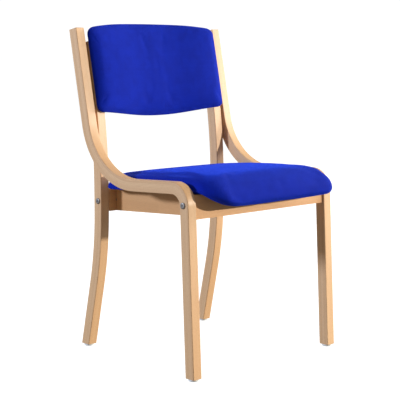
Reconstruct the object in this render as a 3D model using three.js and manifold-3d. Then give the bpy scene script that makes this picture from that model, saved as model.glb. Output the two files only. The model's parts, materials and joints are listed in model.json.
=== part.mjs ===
// Choir chair: bentwood beech frame with an upholstered seat and back.
// Millimetres. +Z is up, the sitter faces -Y, and the sitter's right is at -X.
// The origin is on the floor, under the middle of the chair's box.

import * as THREE from 'three';
import { mergeVertices } from 'three/addons/utils/BufferGeometryUtils.js';
import Module from 'manifold-3d';

const wasm = await Module();
wasm.setup();

// Driving sizes of the bentwood frame
const FRAME_WIDTH = 493;            // over the outer faces of the front frames
const STRIP_WIDTH = 26;             // laminated strip, across the chair
const STRIP_THICKNESS = 28;         // laminated strip, in the side view
const STRIP_EDGE = 1.6;             // bevel along the strip's edges
const SIDE_GAP = 6;                 // between a front frame and the rear leg beside it

// Front frame: front leg, side run and back upright in one strip
const FRONT_FOOT_Y = -225;          // front face of the leg at its foot
const FRONT_LEG_SPLAY = 2.65;       // degrees
const RUN_HEIGHT = 445.6;           // top face of the side run at y = 0
const RUN_DROP = 2.5;               // degrees, falling towards the back
const UPRIGHT_RISE = 360.4;         // from the run's height to the front corner of the upright's end
const KNEE_RADIUS = 41;             // centre line of the strip
const BACK_BEND_RADIUS = 170;       // centre line of the strip
const UPRIGHT_BASE_Y = 123;         // front face, carried down to the run's height
const UPRIGHT_LEAN = 11.6;          // degrees

// Rear leg: a second strip inside the first, that goes on up behind the back
const REAR_FOOT_Y = 212;            // centre line at the foot
const REAR_SHIN_SPLAY = 12.4;       // degrees
const REAR_SHANK_Y = 157;           // centre line where the leg is upright
const REAR_SHIN_BEND_SHARE = 0.322; // the lower bend's reach, of the height between the two bends
const REAR_BACK_RADIUS = 1350;
const REAR_TOP_BELOW_UPRIGHT = 34;  // along the upright

// Seat frame, tilted as one
const SEAT_TILT = 2.9;              // degrees, lower at the back
const SEAT_BELOW_RUN = 31.6;        // top of the rails at y = 0, below the side run's top face
const RAIL_HEIGHT = 56;
const RAIL_THICKNESS = 22;
const RAIL_EDGE = 1.5;
const FRONT_RAIL_Y = -200;          // front face of the front rail
const REAR_RAIL_Y = 144;            // front face of the rear rail
const SIDE_RAIL_INSET = 21.5;       // outer face of a side rail, in from the rear leg
const BLOCK_LEG = 44;               // corner block, along each rail
const BLOCK_NOSE = 10;              // flat left at each end of its slanted side
const BLOCK_HEIGHT = 34;

// Seat pad
const SEAT_SIDE_GAP = 6.5;          // to the front frames
const SEAT_FRONT_Y = -262;
const SEAT_REAR_Y = 138;
const SEAT_PAD_HEIGHT = 37;         // at the rim
const SEAT_CROWN = 8;               // swell of the middle above the rim
const SEAT_CORNER_RADIUS = 34;
const SEAT_ROLL = 26;               // width of the rolled rim
const SEAT_LIP_DROP = 31;           // the front edge hangs this far below the pad
const SEAT_LIP_DEPTH = 48;          // front face to the back of the lip
const SEAT_LIP_BLEND = 14;          // over which the lip turns down
const SEAT_LIP_CORNER = 64;         // from the pad's side, where the lip starts to rise
const SEAT_LIP_SIDE = 10;           // from the pad's side, where it has gone
const SEAT_BOARD_THICKNESS = 9;
const SEAT_BOARD_INSET = 10;
const SEAT_BOARD_CORNER = 30;       // radius
const SEAT_CLOTH_LAP = 26;          // cover turned under the board

// Back pad, in the plane of the uprights
const BACK_SIDE_GAP = 6.5;          // to the front frames
const BACK_TOP = 1;                 // above the uprights' front corners, at the sides
const BACK_ABOVE_RUN = 149.8;       // lower edge at the sides, above the run's height
const BACK_TOP_CROWN = 7;
const BACK_BOTTOM_CROWN = 15;
const BACK_CORNER_RADIUS = 17;
const BACK_CURVE_RADIUS = 980;      // in plan, hollow side forward
const BACK_ROLL = 16;               // width of the rolled rim
const BACK_RIM_HEIGHT = 22;         // pad thickness where the rim is rolled
const BACK_SWELL = 11;              // added over the middle
const BACK_BOARD_THICKNESS = 8;
const BACK_BOARD_INSET = 7;
const BACK_CLOTH_LAP = 24;

// Cloth and gaps
const COVER_THICKNESS = 1.2;
const LINING_THICKNESS = 0.8;
const JOINT_GAP = 0.3;              // between faces that are glued, screwed or rest
const OVERRUN = 4;                  // how far a cutting tool runs past a face

// Leg bolts with their barrel nuts
const BOLT_DIAMETER = 6;
const BOLT_HEAD_DIAMETER = 15;
const BOLT_HEAD_HEIGHT = 2.6;
const BOLT_HEAD_ROUND = 0.8;
const BOLT_SOCKET = 4;              // across the flats
const BOLT_SOCKET_DEPTH = 1.8;
const BOLT_REACH = 34;              // into the rail, from its end
const BARREL_DIAMETER = 10;
const BARREL_LENGTH = 13;
const BARREL_FROM_RAIL_END = 26;
const FRONT_BOLT_BELOW_RAIL_TOP = 22;
const REAR_BOLT_BELOW_RAIL_TOP = 29;
const FRONT_BOLT_FROM_RAIL_FACE = 10.5;
const REAR_BOLT_FROM_RAIL_FACE = 12;

// Screws
const SEAT_SCREW_DIAMETER = 5;
const SEAT_SCREW_HEAD = 10;
const SEAT_SCREW_HEAD_HEIGHT = 3;
const SEAT_SCREW_BITE = 6;          // into the seat board
const BACK_SCREW_DIAMETER = 6;
const BACK_SCREW_HEAD = 13;
const BACK_SCREW_HEAD_HEIGHT = 3.2;
const BACK_SCREW_FROM_LEG_END = 12; // upper pair
const BACK_SCREW_FROM_PAD_END = 73; // lower pair
const INSERT_DIAMETER = 9;
const PACKER_END = 26;              // beyond its screws
const PACKER_WIDTH = 19;
const PACKER_SCREW_DIAMETER = 4;
const PACKER_SCREW_HEAD = 8;
const PACKER_SCREW_BITE = 15;       // into the front frame
const PACKER_SCREW_CLEARANCE = 24;  // from the back screws, along the upright

// Feet
const GLIDE_HEIGHT = 5;
const GLIDE_DIAMETER = 24;
const GLIDE_EDGE = 1.2;
const NAIL_DIAMETER = 3;
const NAIL_HEAD_DIAMETER = 8;
const NAIL_HEAD_HEIGHT = 1.4;
const NAIL_HEAD_RECESS = 0.8;       // above the floor
const NAIL_BITE = 18;

// Fineness of the curves
const ARC_STEP = 7;                 // degrees
const LONG_BEND_STEPS = 6;
const ROUND_SIDES = 16;
const SMALL_ROUND_SIDES = 10;
const PAD_CORNER_STEPS = 3;
const PAD_SIDE_STEPS = 8;
const HEX_SIDES = 6;

const rad = THREE.MathUtils.degToRad;

// Sizes and places that follow from the driving ones
const FRAME_HEIGHT = RUN_HEIGHT + UPRIGHT_RISE;
const UPRIGHT_TOP_Y = UPRIGHT_BASE_Y + UPRIGHT_RISE * Math.tan(rad(UPRIGHT_LEAN));
const SEAT_BASE_HEIGHT = RUN_HEIGHT - SEAT_BELOW_RUN;
const FRONT_INNER_X = FRAME_WIDTH / 2 - STRIP_WIDTH;
const REAR_OUTER_X = FRONT_INNER_X - SIDE_GAP;
const REAR_INNER_X = REAR_OUTER_X - STRIP_WIDTH;
const SIDE_RAIL_X = REAR_INNER_X - SIDE_RAIL_INSET;
const SEAT_HALF_WIDTH = FRONT_INNER_X - SEAT_SIDE_GAP;
const BACK_HALF_WIDTH = FRONT_INNER_X - BACK_SIDE_GAP;
const BACK_BOTTOM = (BACK_ABOVE_RUN - UPRIGHT_RISE) / Math.cos(rad(UPRIGHT_LEAN));
const BACK_SCREW_HIGH_DROP = REAR_TOP_BELOW_UPRIGHT + BACK_SCREW_FROM_LEG_END;
const BACK_SCREW_LOW_DROP = -BACK_BOTTOM - BACK_SCREW_FROM_PAD_END;
const BACK_SCREW_DROPS = [BACK_SCREW_HIGH_DROP, BACK_SCREW_LOW_DROP];
const PACKER_SCREW_DROPS = [
  BACK_SCREW_HIGH_DROP + PACKER_SCREW_CLEARANCE,
  BACK_SCREW_LOW_DROP - PACKER_SCREW_CLEARANCE,
];

// Materials
const beech = () => new THREE.MeshStandardMaterial({ color: 0xdcb287, roughness: 0.42, metalness: 0 });
const railBeech = () => new THREE.MeshStandardMaterial({ color: 0xd0a376, roughness: 0.5, metalness: 0 });
const plywood = () => new THREE.MeshStandardMaterial({ color: 0xcfae82, roughness: 0.7, metalness: 0 });
const blueCloth = () => new THREE.MeshStandardMaterial({ color: 0x1c34b8, roughness: 0.95, metalness: 0 });
const foam = () => new THREE.MeshStandardMaterial({ color: 0xe6dfb8, roughness: 1, metalness: 0 });
const blackCloth = () => new THREE.MeshStandardMaterial({ color: 0x1b1b1d, roughness: 1, metalness: 0 });
const steel = () => new THREE.MeshStandardMaterial({ color: 0x9b9a97, roughness: 0.35, metalness: 1 });
const brass = () => new THREE.MeshStandardMaterial({ color: 0xb59a58, roughness: 0.4, metalness: 1 });
const whitePlastic = () => new THREE.MeshStandardMaterial({ color: 0xe9e7e1, roughness: 0.5, metalness: 0 });

const chair = new THREE.Group();

// The seat frame's own space: y along the seat, z square to it, from the rails' top
const seatFrame = new THREE.Group();
seatFrame.position.z = SEAT_BASE_HEIGHT;
seatFrame.rotation.x = -rad(SEAT_TILT);
chair.add(seatFrame);

// The back's own space: z along the uprights, -y out of their front faces
const backFrame = new THREE.Group();
backFrame.position.set(0, UPRIGHT_TOP_Y, FRAME_HEIGHT);
backFrame.rotation.x = -rad(UPRIGHT_LEAN);
chair.add(backFrame);
chair.updateMatrixWorld(true);

const SIDES = [
  { name: 'left', sign: 1 },
  { name: 'right', sign: -1 },
];

function addMesh(parent, name, geometry, material) {
  const mesh = new THREE.Mesh(geometry, material);
  mesh.name = name;
  parent.add(mesh);
  return mesh;
}

// Joins and cuts

function toSolid(geometry) {
  const bare = geometry.clone();
  for (const attribute of ['normal', 'uv']) {
    bare.deleteAttribute(attribute);
  }
  const merged = mergeVertices(bare);
  const triVerts = new Uint32Array(merged.index.array);
  const vertProperties = new Float32Array(merged.attributes.position.array);
  return new wasm.Manifold(new wasm.Mesh({ numProp: 3, vertProperties, triVerts }));
}

function toGeometry(solid) {
  const mesh = solid.getMesh();
  const geometry = new THREE.BufferGeometry();
  geometry.setAttribute('position', new THREE.BufferAttribute(new Float32Array(mesh.vertProperties), 3));
  geometry.setIndex(new THREE.BufferAttribute(new Uint32Array(mesh.triVerts), 1));
  geometry.computeVertexNormals();
  return geometry;
}

function cut(geometry, tools) {
  let solid = toSolid(geometry);
  for (const tool of tools) {
    solid = solid.subtract(toSolid(tool));
  }
  return toGeometry(solid);
}

function keepInside(geometry, region) {
  return toGeometry(toSolid(geometry).intersect(toSolid(region)));
}

// Basic shapes

function rod(diameter, from, to, sides = SMALL_ROUND_SIDES) {
  const length = from.distanceTo(to);
  const geometry = new THREE.CylinderGeometry(diameter / 2, diameter / 2, length, sides);
  const direction = to.clone().sub(from).normalize();
  const turn = new THREE.Quaternion().setFromUnitVectors(new THREE.Vector3(0, 1, 0), direction);
  const middle = from.clone().add(to).multiplyScalar(1 / 2);
  return geometry.applyQuaternion(turn).translate(middle.x, middle.y, middle.z);
}

// A bar from a closed outline, its two ends and all its edges bevelled
function bar(outline, length, edge) {
  const geometry = new THREE.ExtrudeGeometry(new THREE.Shape(outline), {
    depth: length - 2 * edge,
    bevelEnabled: true,
    bevelThickness: edge,
    bevelSize: edge,
    bevelOffset: -edge,
    bevelSegments: 1,
  });
  return geometry.translate(0, 0, edge);
}

function plate(outline, depth) {
  return new THREE.ExtrudeGeometry(new THREE.Shape(outline), { depth, bevelEnabled: false });
}

// Turns a bar drawn in (y, z) so that it runs along x
function alongX(geometry, x0) {
  const turn = new THREE.Matrix4().makeBasis(
    new THREE.Vector3(0, 1, 0),
    new THREE.Vector3(0, 0, 1),
    new THREE.Vector3(1, 0, 0),
  );
  return geometry.applyMatrix4(turn).translate(x0, 0, 0);
}

function rectangle(a0, a1, b0, b1) {
  return [
    new THREE.Vector2(a0, b0),
    new THREE.Vector2(a1, b0),
    new THREE.Vector2(a1, b1),
    new THREE.Vector2(a0, b1),
  ];
}

function point2(a, b) {
  return new THREE.Vector2(a, b);
}

function point3(x, y, z) {
  return new THREE.Vector3(x, y, z);
}

// Where two lines meet, each given by a point and a direction
function meet(pointA, directionA, pointB, directionB) {
  const cross = directionA.cross(directionB);
  const along = pointB.clone().sub(pointA).cross(directionB) / cross;
  return pointA.clone().addScaledVector(directionA, along);
}

// Bentwood strips in the side view, drawn in (y, z)

// One side of a strip: straight runs joined by arcs, offset from the centre line
function stripSide(corners, radii, offset, steps) {
  const side = [];
  for (let i = 0; i < corners.length; i += 1) {
    const before = corners[Math.max(i - 1, 0)];
    const after = corners[Math.min(i + 1, corners.length - 1)];
    const isEnd = i === 0 || i === corners.length - 1;
    if (isEnd) {
      const along = after.clone().sub(before).normalize();
      const across = point2(-along.y, along.x);
      side.push(corners[i].clone().addScaledVector(across, offset));
      continue;
    }
    const inward = corners[i].clone().sub(before).normalize();
    const outward = after.clone().sub(corners[i]).normalize();
    const turn = Math.sign(inward.cross(outward));
    const angle = Math.acos(inward.dot(outward));
    const radius = radii[i - 1];
    const tangent = radius * Math.tan(angle / 2);
    const start = corners[i].clone().addScaledVector(inward, -tangent);
    const normal = point2(-inward.y, inward.x).multiplyScalar(turn);
    const centre = start.clone().addScaledVector(normal, radius);
    for (let step = 0; step <= steps[i - 1]; step += 1) {
      const swing = turn * angle * step / steps[i - 1];
      const spoke = normal.clone().negate().rotateAround(point2(0, 0), swing);
      side.push(centre.clone().addScaledVector(spoke, radius - turn * offset));
    }
  }
  return side;
}

// The closed outline of a strip, its foot sawn level with the top of the glide
function stripOutline(corners, radii, steps) {
  const half = STRIP_THICKNESS / 2;
  const left = stripSide(corners, radii, half, steps);
  const right = stripSide(corners, radii, -half, steps);
  for (const side of [left, right]) {
    const direction = side[1].clone().sub(side[0]);
    side[0].addScaledVector(direction, (GLIDE_HEIGHT - side[0].y) / direction.y);
  }
  return [...right, ...left.reverse()];
}

// Front frame

function frontFrameCorners() {
  const half = STRIP_THICKNESS / 2;
  const legUp = point2(Math.sin(rad(FRONT_LEG_SPLAY)), Math.cos(rad(FRONT_LEG_SPLAY)));
  const runBack = point2(Math.cos(rad(RUN_DROP)), -Math.sin(rad(RUN_DROP)));
  const uprightUp = point2(Math.sin(rad(UPRIGHT_LEAN)), Math.cos(rad(UPRIGHT_LEAN)));
  const foot = point2(FRONT_FOOT_Y + half / Math.cos(rad(FRONT_LEG_SPLAY)), GLIDE_HEIGHT);
  const run = point2(0, RUN_HEIGHT - half / Math.cos(rad(RUN_DROP)));
  const top = point2(UPRIGHT_TOP_Y, FRAME_HEIGHT).add(point2(uprightUp.y, -uprightUp.x).multiplyScalar(half));
  const knee = meet(foot, legUp, run, runBack);
  const bend = meet(run, runBack, top, uprightUp);
  return [foot, knee, bend, top];
}

const kneeSteps = Math.round((90 - FRONT_LEG_SPLAY + RUN_DROP) / ARC_STEP);
const bendSteps = Math.round((90 - UPRIGHT_LEAN + RUN_DROP) / ARC_STEP);
const frontFrameOutline = stripOutline(
  frontFrameCorners(),
  [KNEE_RADIUS, BACK_BEND_RADIUS],
  [kneeSteps, bendSteps],
);

// Rear leg

function rearLegCorners() {
  const half = STRIP_THICKNESS / 2;
  const shinUp = point2(-Math.sin(rad(REAR_SHIN_SPLAY)), Math.cos(rad(REAR_SHIN_SPLAY)));
  const shankUp = point2(0, 1);
  const uprightUp = point2(Math.sin(rad(UPRIGHT_LEAN)), Math.cos(rad(UPRIGHT_LEAN)));
  const foot = point2(REAR_FOOT_Y, GLIDE_HEIGHT);
  const shank = point2(REAR_SHANK_Y, GLIDE_HEIGHT);
  const corner = point2(UPRIGHT_TOP_Y, FRAME_HEIGHT);
  const centre = corner.add(point2(uprightUp.y, -uprightUp.x).multiplyScalar(half));
  const top = centre.addScaledVector(uprightUp, -REAR_TOP_BELOW_UPRIGHT);
  const shin = meet(foot, shinUp, shank, shankUp);
  const shoulder = meet(shank, shankUp, top, uprightUp);
  return [foot, shin, shoulder, top];
}

function rearShinRadius([, shin, shoulder]) {
  const reach = REAR_SHIN_BEND_SHARE * shoulder.distanceTo(shin);
  return reach / Math.tan(rad(REAR_SHIN_SPLAY) / 2);
}

const rearLegOutline = stripOutline(
  rearLegCorners(),
  [rearShinRadius(rearLegCorners()), REAR_BACK_RADIUS],
  [LONG_BEND_STEPS, LONG_BEND_STEPS],
);

// Places of the leg bolts, in the seat frame's space

const frontBolt = point3(0, FRONT_RAIL_Y + FRONT_BOLT_FROM_RAIL_FACE, -FRONT_BOLT_BELOW_RAIL_TOP);
const rearBolt = point3(0, REAR_RAIL_Y + REAR_BOLT_FROM_RAIL_FACE, -REAR_BOLT_BELOW_RAIL_TOP);
const FRONT_RAIL_HALF = FRONT_INNER_X - JOINT_GAP;
const REAR_RAIL_HALF = REAR_INNER_X - JOINT_GAP;

const BOLT_PLACES = [
  { name: 'front', place: frontBolt, faceX: FRONT_INNER_X + STRIP_WIDTH, railHalf: FRONT_RAIL_HALF },
  { name: 'rear', place: rearBolt, faceX: REAR_OUTER_X, railHalf: REAR_RAIL_HALF },
];

// Places of the feet: the middle of each sawn leg end
const FRONT_FOOT_MIDDLE_Y = FRONT_FOOT_Y + STRIP_THICKNESS / 2 / Math.cos(rad(FRONT_LEG_SPLAY));
const FOOT_PLACES = [
  { name: 'front', x: FRONT_INNER_X + STRIP_WIDTH / 2, y: FRONT_FOOT_MIDDLE_Y },
  { name: 'rear', x: REAR_INNER_X + STRIP_WIDTH / 2, y: REAR_FOOT_Y },
];

function nailHole(sign, foot) {
  const hole = NAIL_DIAMETER + 2 * JOINT_GAP;
  const low = point3(sign * foot.x, foot.y, GLIDE_HEIGHT - OVERRUN);
  const high = point3(sign * foot.x, foot.y, GLIDE_HEIGHT + NAIL_BITE + JOINT_GAP);
  return rod(hole, low, high);
}

// A hole along x through a strip, at a place in the seat frame's space
function legBoltHole(sign, bolt) {
  const world = seatFrame.localToWorld(bolt.place.clone());
  const inner = point3(sign * (bolt.faceX - STRIP_WIDTH - OVERRUN), world.y, world.z);
  const outer = point3(sign * (bolt.faceX + OVERRUN), world.y, world.z);
  return rod(BOLT_DIAMETER + 2 * JOINT_GAP, inner, outer);
}

// Packer screws run along x through the rear leg and the packer
const packerMiddleY = STRIP_THICKNESS / 2;

function packerScrewAt(sign, drop) {
  const start = backFrame.localToWorld(point3(sign * REAR_INNER_X, packerMiddleY, -drop));
  const end = start.clone();
  end.x = sign * (FRONT_INNER_X + PACKER_SCREW_BITE);
  return { start, end };
}

function packerScrewHole(sign, drop) {
  const { start, end } = packerScrewAt(sign, drop);
  start.x -= sign * OVERRUN;
  end.x += sign * JOINT_GAP;
  return rod(PACKER_SCREW_DIAMETER + 2 * JOINT_GAP, start, end);
}

function packerScrewSink(sign, drop) {
  const { start } = packerScrewAt(sign, drop);
  const depth = (PACKER_SCREW_HEAD - PACKER_SCREW_DIAMETER) / 2;
  const outer = PACKER_SCREW_HEAD / 2 + JOINT_GAP + OVERRUN;
  const inner = PACKER_SCREW_DIAMETER / 2 + JOINT_GAP;
  const sink = new THREE.CylinderGeometry(inner, outer, depth + OVERRUN, SMALL_ROUND_SIDES);
  sink.rotateZ(-sign * Math.PI / 2);
  return sink.translate(start.x + sign * (depth - OVERRUN) / 2, start.y, start.z);
}

// Back screws run out of the rear face of the rear leg, square to the uprights
const backScrewX = REAR_INNER_X + STRIP_WIDTH / 2;

function backScrewHole(sign, drop, diameter) {
  const from = point3(sign * backScrewX, STRIP_THICKNESS + OVERRUN, -drop);
  const to = point3(sign * backScrewX, -OVERRUN, -drop);
  return rod(diameter, backFrame.localToWorld(from), backFrame.localToWorld(to));
}

for (const { name, sign } of SIDES) {
  const frontX = sign > 0 ? FRONT_INNER_X : -FRONT_INNER_X - STRIP_WIDTH;
  const frontStrip = alongX(bar(frontFrameOutline, STRIP_WIDTH, STRIP_EDGE), frontX);
  const frontTools = [legBoltHole(sign, BOLT_PLACES[0]), nailHole(sign, FOOT_PLACES[0])];
  for (const drop of PACKER_SCREW_DROPS) {
    frontTools.push(packerScrewHole(sign, drop));
  }
  addMesh(chair, `front_frame_${name}`, cut(frontStrip, frontTools), beech());

  const rearX = sign > 0 ? REAR_INNER_X : -REAR_OUTER_X;
  const rearStrip = alongX(bar(rearLegOutline, STRIP_WIDTH, STRIP_EDGE), rearX);
  const rearTools = [legBoltHole(sign, BOLT_PLACES[1]), nailHole(sign, FOOT_PLACES[1])];
  for (const drop of PACKER_SCREW_DROPS) {
    rearTools.push(packerScrewHole(sign, drop), packerScrewSink(sign, drop));
  }
  for (const drop of BACK_SCREW_DROPS) {
    rearTools.push(backScrewHole(sign, drop, BACK_SCREW_DIAMETER + 2 * JOINT_GAP));
  }
  addMesh(chair, `rear_leg_${name}`, cut(rearStrip, rearTools), beech());
}

// Packers between each front frame and its rear leg

for (const { name, sign } of SIDES) {
  const front = packerMiddleY - PACKER_WIDTH / 2;
  const high = PACKER_END - Math.min(...PACKER_SCREW_DROPS);
  const low = -Math.max(...PACKER_SCREW_DROPS) - PACKER_END;
  const outline = rectangle(front, front + PACKER_WIDTH, low, high);
  const thickness = SIDE_GAP - 2 * JOINT_GAP;
  const x0 = sign > 0 ? REAR_OUTER_X + JOINT_GAP : -REAR_OUTER_X - JOINT_GAP - thickness;
  const strip = alongX(plate(outline, thickness), x0);
  const holes = PACKER_SCREW_DROPS.map((drop) => {
    const near = point3(sign * (REAR_OUTER_X - OVERRUN), packerMiddleY, -drop);
    const far = point3(sign * (FRONT_INNER_X + OVERRUN), packerMiddleY, -drop);
    return rod(PACKER_SCREW_DIAMETER + 2 * JOINT_GAP, near, far);
  });
  addMesh(backFrame, `side_packer_${name}`, cut(strip, holes), railBeech());
}

// A countersunk screw along +z, its flat head at zero
function countersunkScrew(head, shank, length) {
  const slope = (head - shank) / 2;
  const profile = [
    point2(0, 0),
    point2(head / 2, 0),
    point2(shank / 2, slope),
    point2(shank / 2, length - shank / 2),
    point2(0, length),
  ];
  return new THREE.LatheGeometry(profile, SMALL_ROUND_SIDES);
}

for (const { name, sign } of SIDES) {
  PACKER_SCREW_DROPS.forEach((drop, i) => {
    const { start, end } = packerScrewAt(sign, drop);
    const length = Math.abs(end.x - start.x);
    const screw = countersunkScrew(PACKER_SCREW_HEAD, PACKER_SCREW_DIAMETER, length);
    screw.rotateZ(-sign * Math.PI / 2).translate(start.x, start.y, start.z);
    addMesh(chair, `side_screw_${name}_${i + 1}`, screw, steel());
  });
}

// Cross rails, with bolt holes in their ends and barrel nut bores in their inner faces

function crossRail(y0, half, bolt, innerY, outerSign) {
  const outline = rectangle(y0, y0 + RAIL_THICKNESS, -RAIL_HEIGHT, 0);
  const rail = alongX(bar(outline, 2 * half, RAIL_EDGE), -half);
  const tools = [];
  for (const { sign } of SIDES) {
    const end = point3(sign * (half + OVERRUN), bolt.y, bolt.z);
    const stop = point3(sign * (half - BOLT_REACH - JOINT_GAP), bolt.y, bolt.z);
    tools.push(rod(BOLT_DIAMETER + 2 * JOINT_GAP, end, stop));
    const nutX = sign * (half - BARREL_FROM_RAIL_END);
    const deep = bolt.y + outerSign * (BARREL_LENGTH / 2 + JOINT_GAP);
    const mouth = point3(nutX, innerY - outerSign * OVERRUN, bolt.z);
    tools.push(rod(BARREL_DIAMETER + 2 * JOINT_GAP, mouth, point3(nutX, deep, bolt.z), ROUND_SIDES));
  }
  return cut(rail, tools);
}

const FRONT_RAIL_INNER_Y = FRONT_RAIL_Y + RAIL_THICKNESS;
addMesh(
  seatFrame,
  'front_rail',
  crossRail(FRONT_RAIL_Y, FRONT_RAIL_HALF, frontBolt, FRONT_RAIL_INNER_Y, -1),
  railBeech(),
);
addMesh(
  seatFrame,
  'rear_rail',
  crossRail(REAR_RAIL_Y, REAR_RAIL_HALF, rearBolt, REAR_RAIL_Y, 1),
  railBeech(),
);

// Side rails and corner blocks

const SIDE_RAIL_FRONT = FRONT_RAIL_INNER_Y + JOINT_GAP;
const SIDE_RAIL_REAR = REAR_RAIL_Y - JOINT_GAP;
const BLOCK_SIDE_X = SIDE_RAIL_X - RAIL_THICKNESS - JOINT_GAP;
const BLOCK_SCREW_IN = BLOCK_LEG / 2;

function alongY(outline, y0, length, edge) {
  const geometry = bar(outline, length, edge);
  const turn = new THREE.Matrix4().makeBasis(point3(1, 0, 0), point3(0, 0, 1), point3(0, -1, 0));
  return geometry.applyMatrix4(turn).translate(0, y0 + length, 0);
}

// Seat screws rise through the corner blocks into the board
function seatScrewPlace(sign, block) {
  return point2(sign * (BLOCK_SIDE_X - BLOCK_SCREW_IN), block.cornerY + block.inward * BLOCK_SCREW_IN);
}

const BLOCK_PLACES = [
  { name: 'front', cornerY: SIDE_RAIL_FRONT, inward: 1 },
  { name: 'rear', cornerY: SIDE_RAIL_REAR, inward: -1 },
];

function cornerBlock(sign, block) {
  const x = (inset) => sign * (BLOCK_SIDE_X - inset);
  const y = (inset) => block.cornerY + block.inward * inset;
  const outline = [
    point2(x(0), y(0)),
    point2(x(BLOCK_LEG), y(0)),
    point2(x(BLOCK_LEG), y(BLOCK_NOSE)),
    point2(x(BLOCK_NOSE), y(BLOCK_LEG)),
    point2(x(0), y(BLOCK_LEG)),
  ];
  const solid = plate(outline, BLOCK_HEIGHT).translate(0, 0, -BLOCK_HEIGHT - JOINT_GAP);
  const screw = seatScrewPlace(sign, block);
  const low = point3(screw.x, screw.y, -BLOCK_HEIGHT - OVERRUN);
  const high = point3(screw.x, screw.y, OVERRUN);
  return cut(solid, [rod(SEAT_SCREW_DIAMETER + 2 * JOINT_GAP, low, high)]);
}

for (const { name, sign } of SIDES) {
  const x0 = sign > 0 ? SIDE_RAIL_X - RAIL_THICKNESS : -SIDE_RAIL_X;
  const section = rectangle(x0, x0 + RAIL_THICKNESS, -RAIL_HEIGHT, 0);
  const rail = alongY(section, SIDE_RAIL_FRONT, SIDE_RAIL_REAR - SIDE_RAIL_FRONT, RAIL_EDGE);
  addMesh(seatFrame, `side_rail_${name}`, rail, railBeech());
  for (const block of BLOCK_PLACES) {
    addMesh(seatFrame, `corner_block_${block.name}_${name}`, cornerBlock(sign, block), plywood());
  }
}

// Leg bolts: a flat head with a hexagon socket, and a plain shank

function legBolt(length) {
  const half = BOLT_HEAD_DIAMETER / 2;
  const profile = [
    point2(0, -BOLT_HEAD_HEIGHT),
    point2(half - BOLT_HEAD_ROUND, -BOLT_HEAD_HEIGHT),
    point2(half, -BOLT_HEAD_HEIGHT + BOLT_HEAD_ROUND),
    point2(half, 0),
    point2(BOLT_DIAMETER / 2, 0),
    point2(BOLT_DIAMETER / 2, length),
    point2(0, length),
  ];
  const body = new THREE.LatheGeometry(profile, ROUND_SIDES);
  const socketRadius = BOLT_SOCKET / 2 / Math.cos(Math.PI / HEX_SIDES);
  const deep = BOLT_SOCKET_DEPTH + OVERRUN;
  const socket = new THREE.CylinderGeometry(socketRadius, socketRadius, deep, HEX_SIDES);
  socket.translate(0, BOLT_SOCKET_DEPTH - BOLT_HEAD_HEIGHT - deep / 2, 0);
  return cut(body, [socket]);
}

function barrelNut() {
  const halfLength = BARREL_LENGTH / 2;
  const barrel = rod(BARREL_DIAMETER, point3(0, -halfLength, 0), point3(0, halfLength, 0), ROUND_SIDES);
  const reach = BARREL_DIAMETER / 2 + OVERRUN;
  const hole = rod(BOLT_DIAMETER + 2 * JOINT_GAP, point3(-reach, 0, 0), point3(reach, 0, 0));
  return cut(barrel, [hole]);
}

for (const { name, sign } of SIDES) {
  for (const bolt of BOLT_PLACES) {
    const world = seatFrame.localToWorld(bolt.place.clone());
    const headSeat = bolt.faceX + JOINT_GAP;
    const geometry = legBolt(headSeat - bolt.railHalf + BOLT_REACH);
    geometry.rotateZ(sign * Math.PI / 2);
    const mesh = addMesh(chair, `leg_bolt_${bolt.name}_${name}`, geometry, steel());
    mesh.position.set(sign * headSeat, world.y, world.z);

    const nut = addMesh(seatFrame, `barrel_nut_${bolt.name}_${name}`, barrelNut(), steel());
    nut.position.set(sign * (bolt.railHalf - BARREL_FROM_RAIL_END), bolt.place.y, bolt.place.z);
  }
}

// Upholstered pads

// A rounded rectangle as a loop of points, always with the same count
function roundedLoop(halfWidth, low, high, radius) {
  const corners = [
    { x: halfWidth - radius, y: low + radius, start: -90 },
    { x: halfWidth - radius, y: high - radius, start: 0 },
    { x: -halfWidth + radius, y: high - radius, start: 90 },
    { x: -halfWidth + radius, y: low + radius, start: 180 },
  ];
  const loop = [];
  corners.forEach((corner, i) => {
    for (let step = 0; step <= PAD_CORNER_STEPS; step += 1) {
      const angle = rad(corner.start + 90 * step / PAD_CORNER_STEPS);
      loop.push(point2(corner.x + radius * Math.cos(angle), corner.y + radius * Math.sin(angle)));
    }
    const next = corners[(i + 1) % corners.length];
    const last = loop[loop.length - 1];
    const angle = rad(next.start);
    const first = point2(next.x + radius * Math.cos(angle), next.y + radius * Math.sin(angle));
    for (let step = 1; step < PAD_SIDE_STEPS; step += 1) {
      loop.push(last.clone().lerp(first, step / PAD_SIDE_STEPS));
    }
  });
  return loop;
}

// A closed solid from loops of points, from the middle of its base to the middle of its top
function stackedLoops(loops, baseMiddle, topMiddle) {
  const count = loops[0].length;
  const positions = [];
  for (const loop of loops) {
    for (const p of loop) {
      positions.push(p.x, p.y, p.z);
    }
  }
  const baseIndex = loops.length * count;
  const topIndex = baseIndex + 1;
  positions.push(baseMiddle.x, baseMiddle.y, baseMiddle.z);
  positions.push(topMiddle.x, topMiddle.y, topMiddle.z);
  const index = [];
  for (let i = 0; i < count; i += 1) {
    const next = (i + 1) % count;
    index.push(baseIndex, next, i);
    for (let ring = 0; ring + 1 < loops.length; ring += 1) {
      const low = ring * count;
      const high = low + count;
      index.push(low + i, low + next, high + next);
      index.push(low + i, high + next, high + i);
    }
    const last = (loops.length - 1) * count;
    index.push(last + i, last + next, topIndex);
  }
  const geometry = new THREE.BufferGeometry();
  geometry.setAttribute('position', new THREE.Float32BufferAttribute(positions, 3));
  geometry.setIndex(index);
  geometry.computeVertexNormals();
  return geometry;
}

function smooth(share) {
  const t = THREE.MathUtils.clamp(share, 0, 1);
  return t * t * (3 - 2 * t);
}

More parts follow.
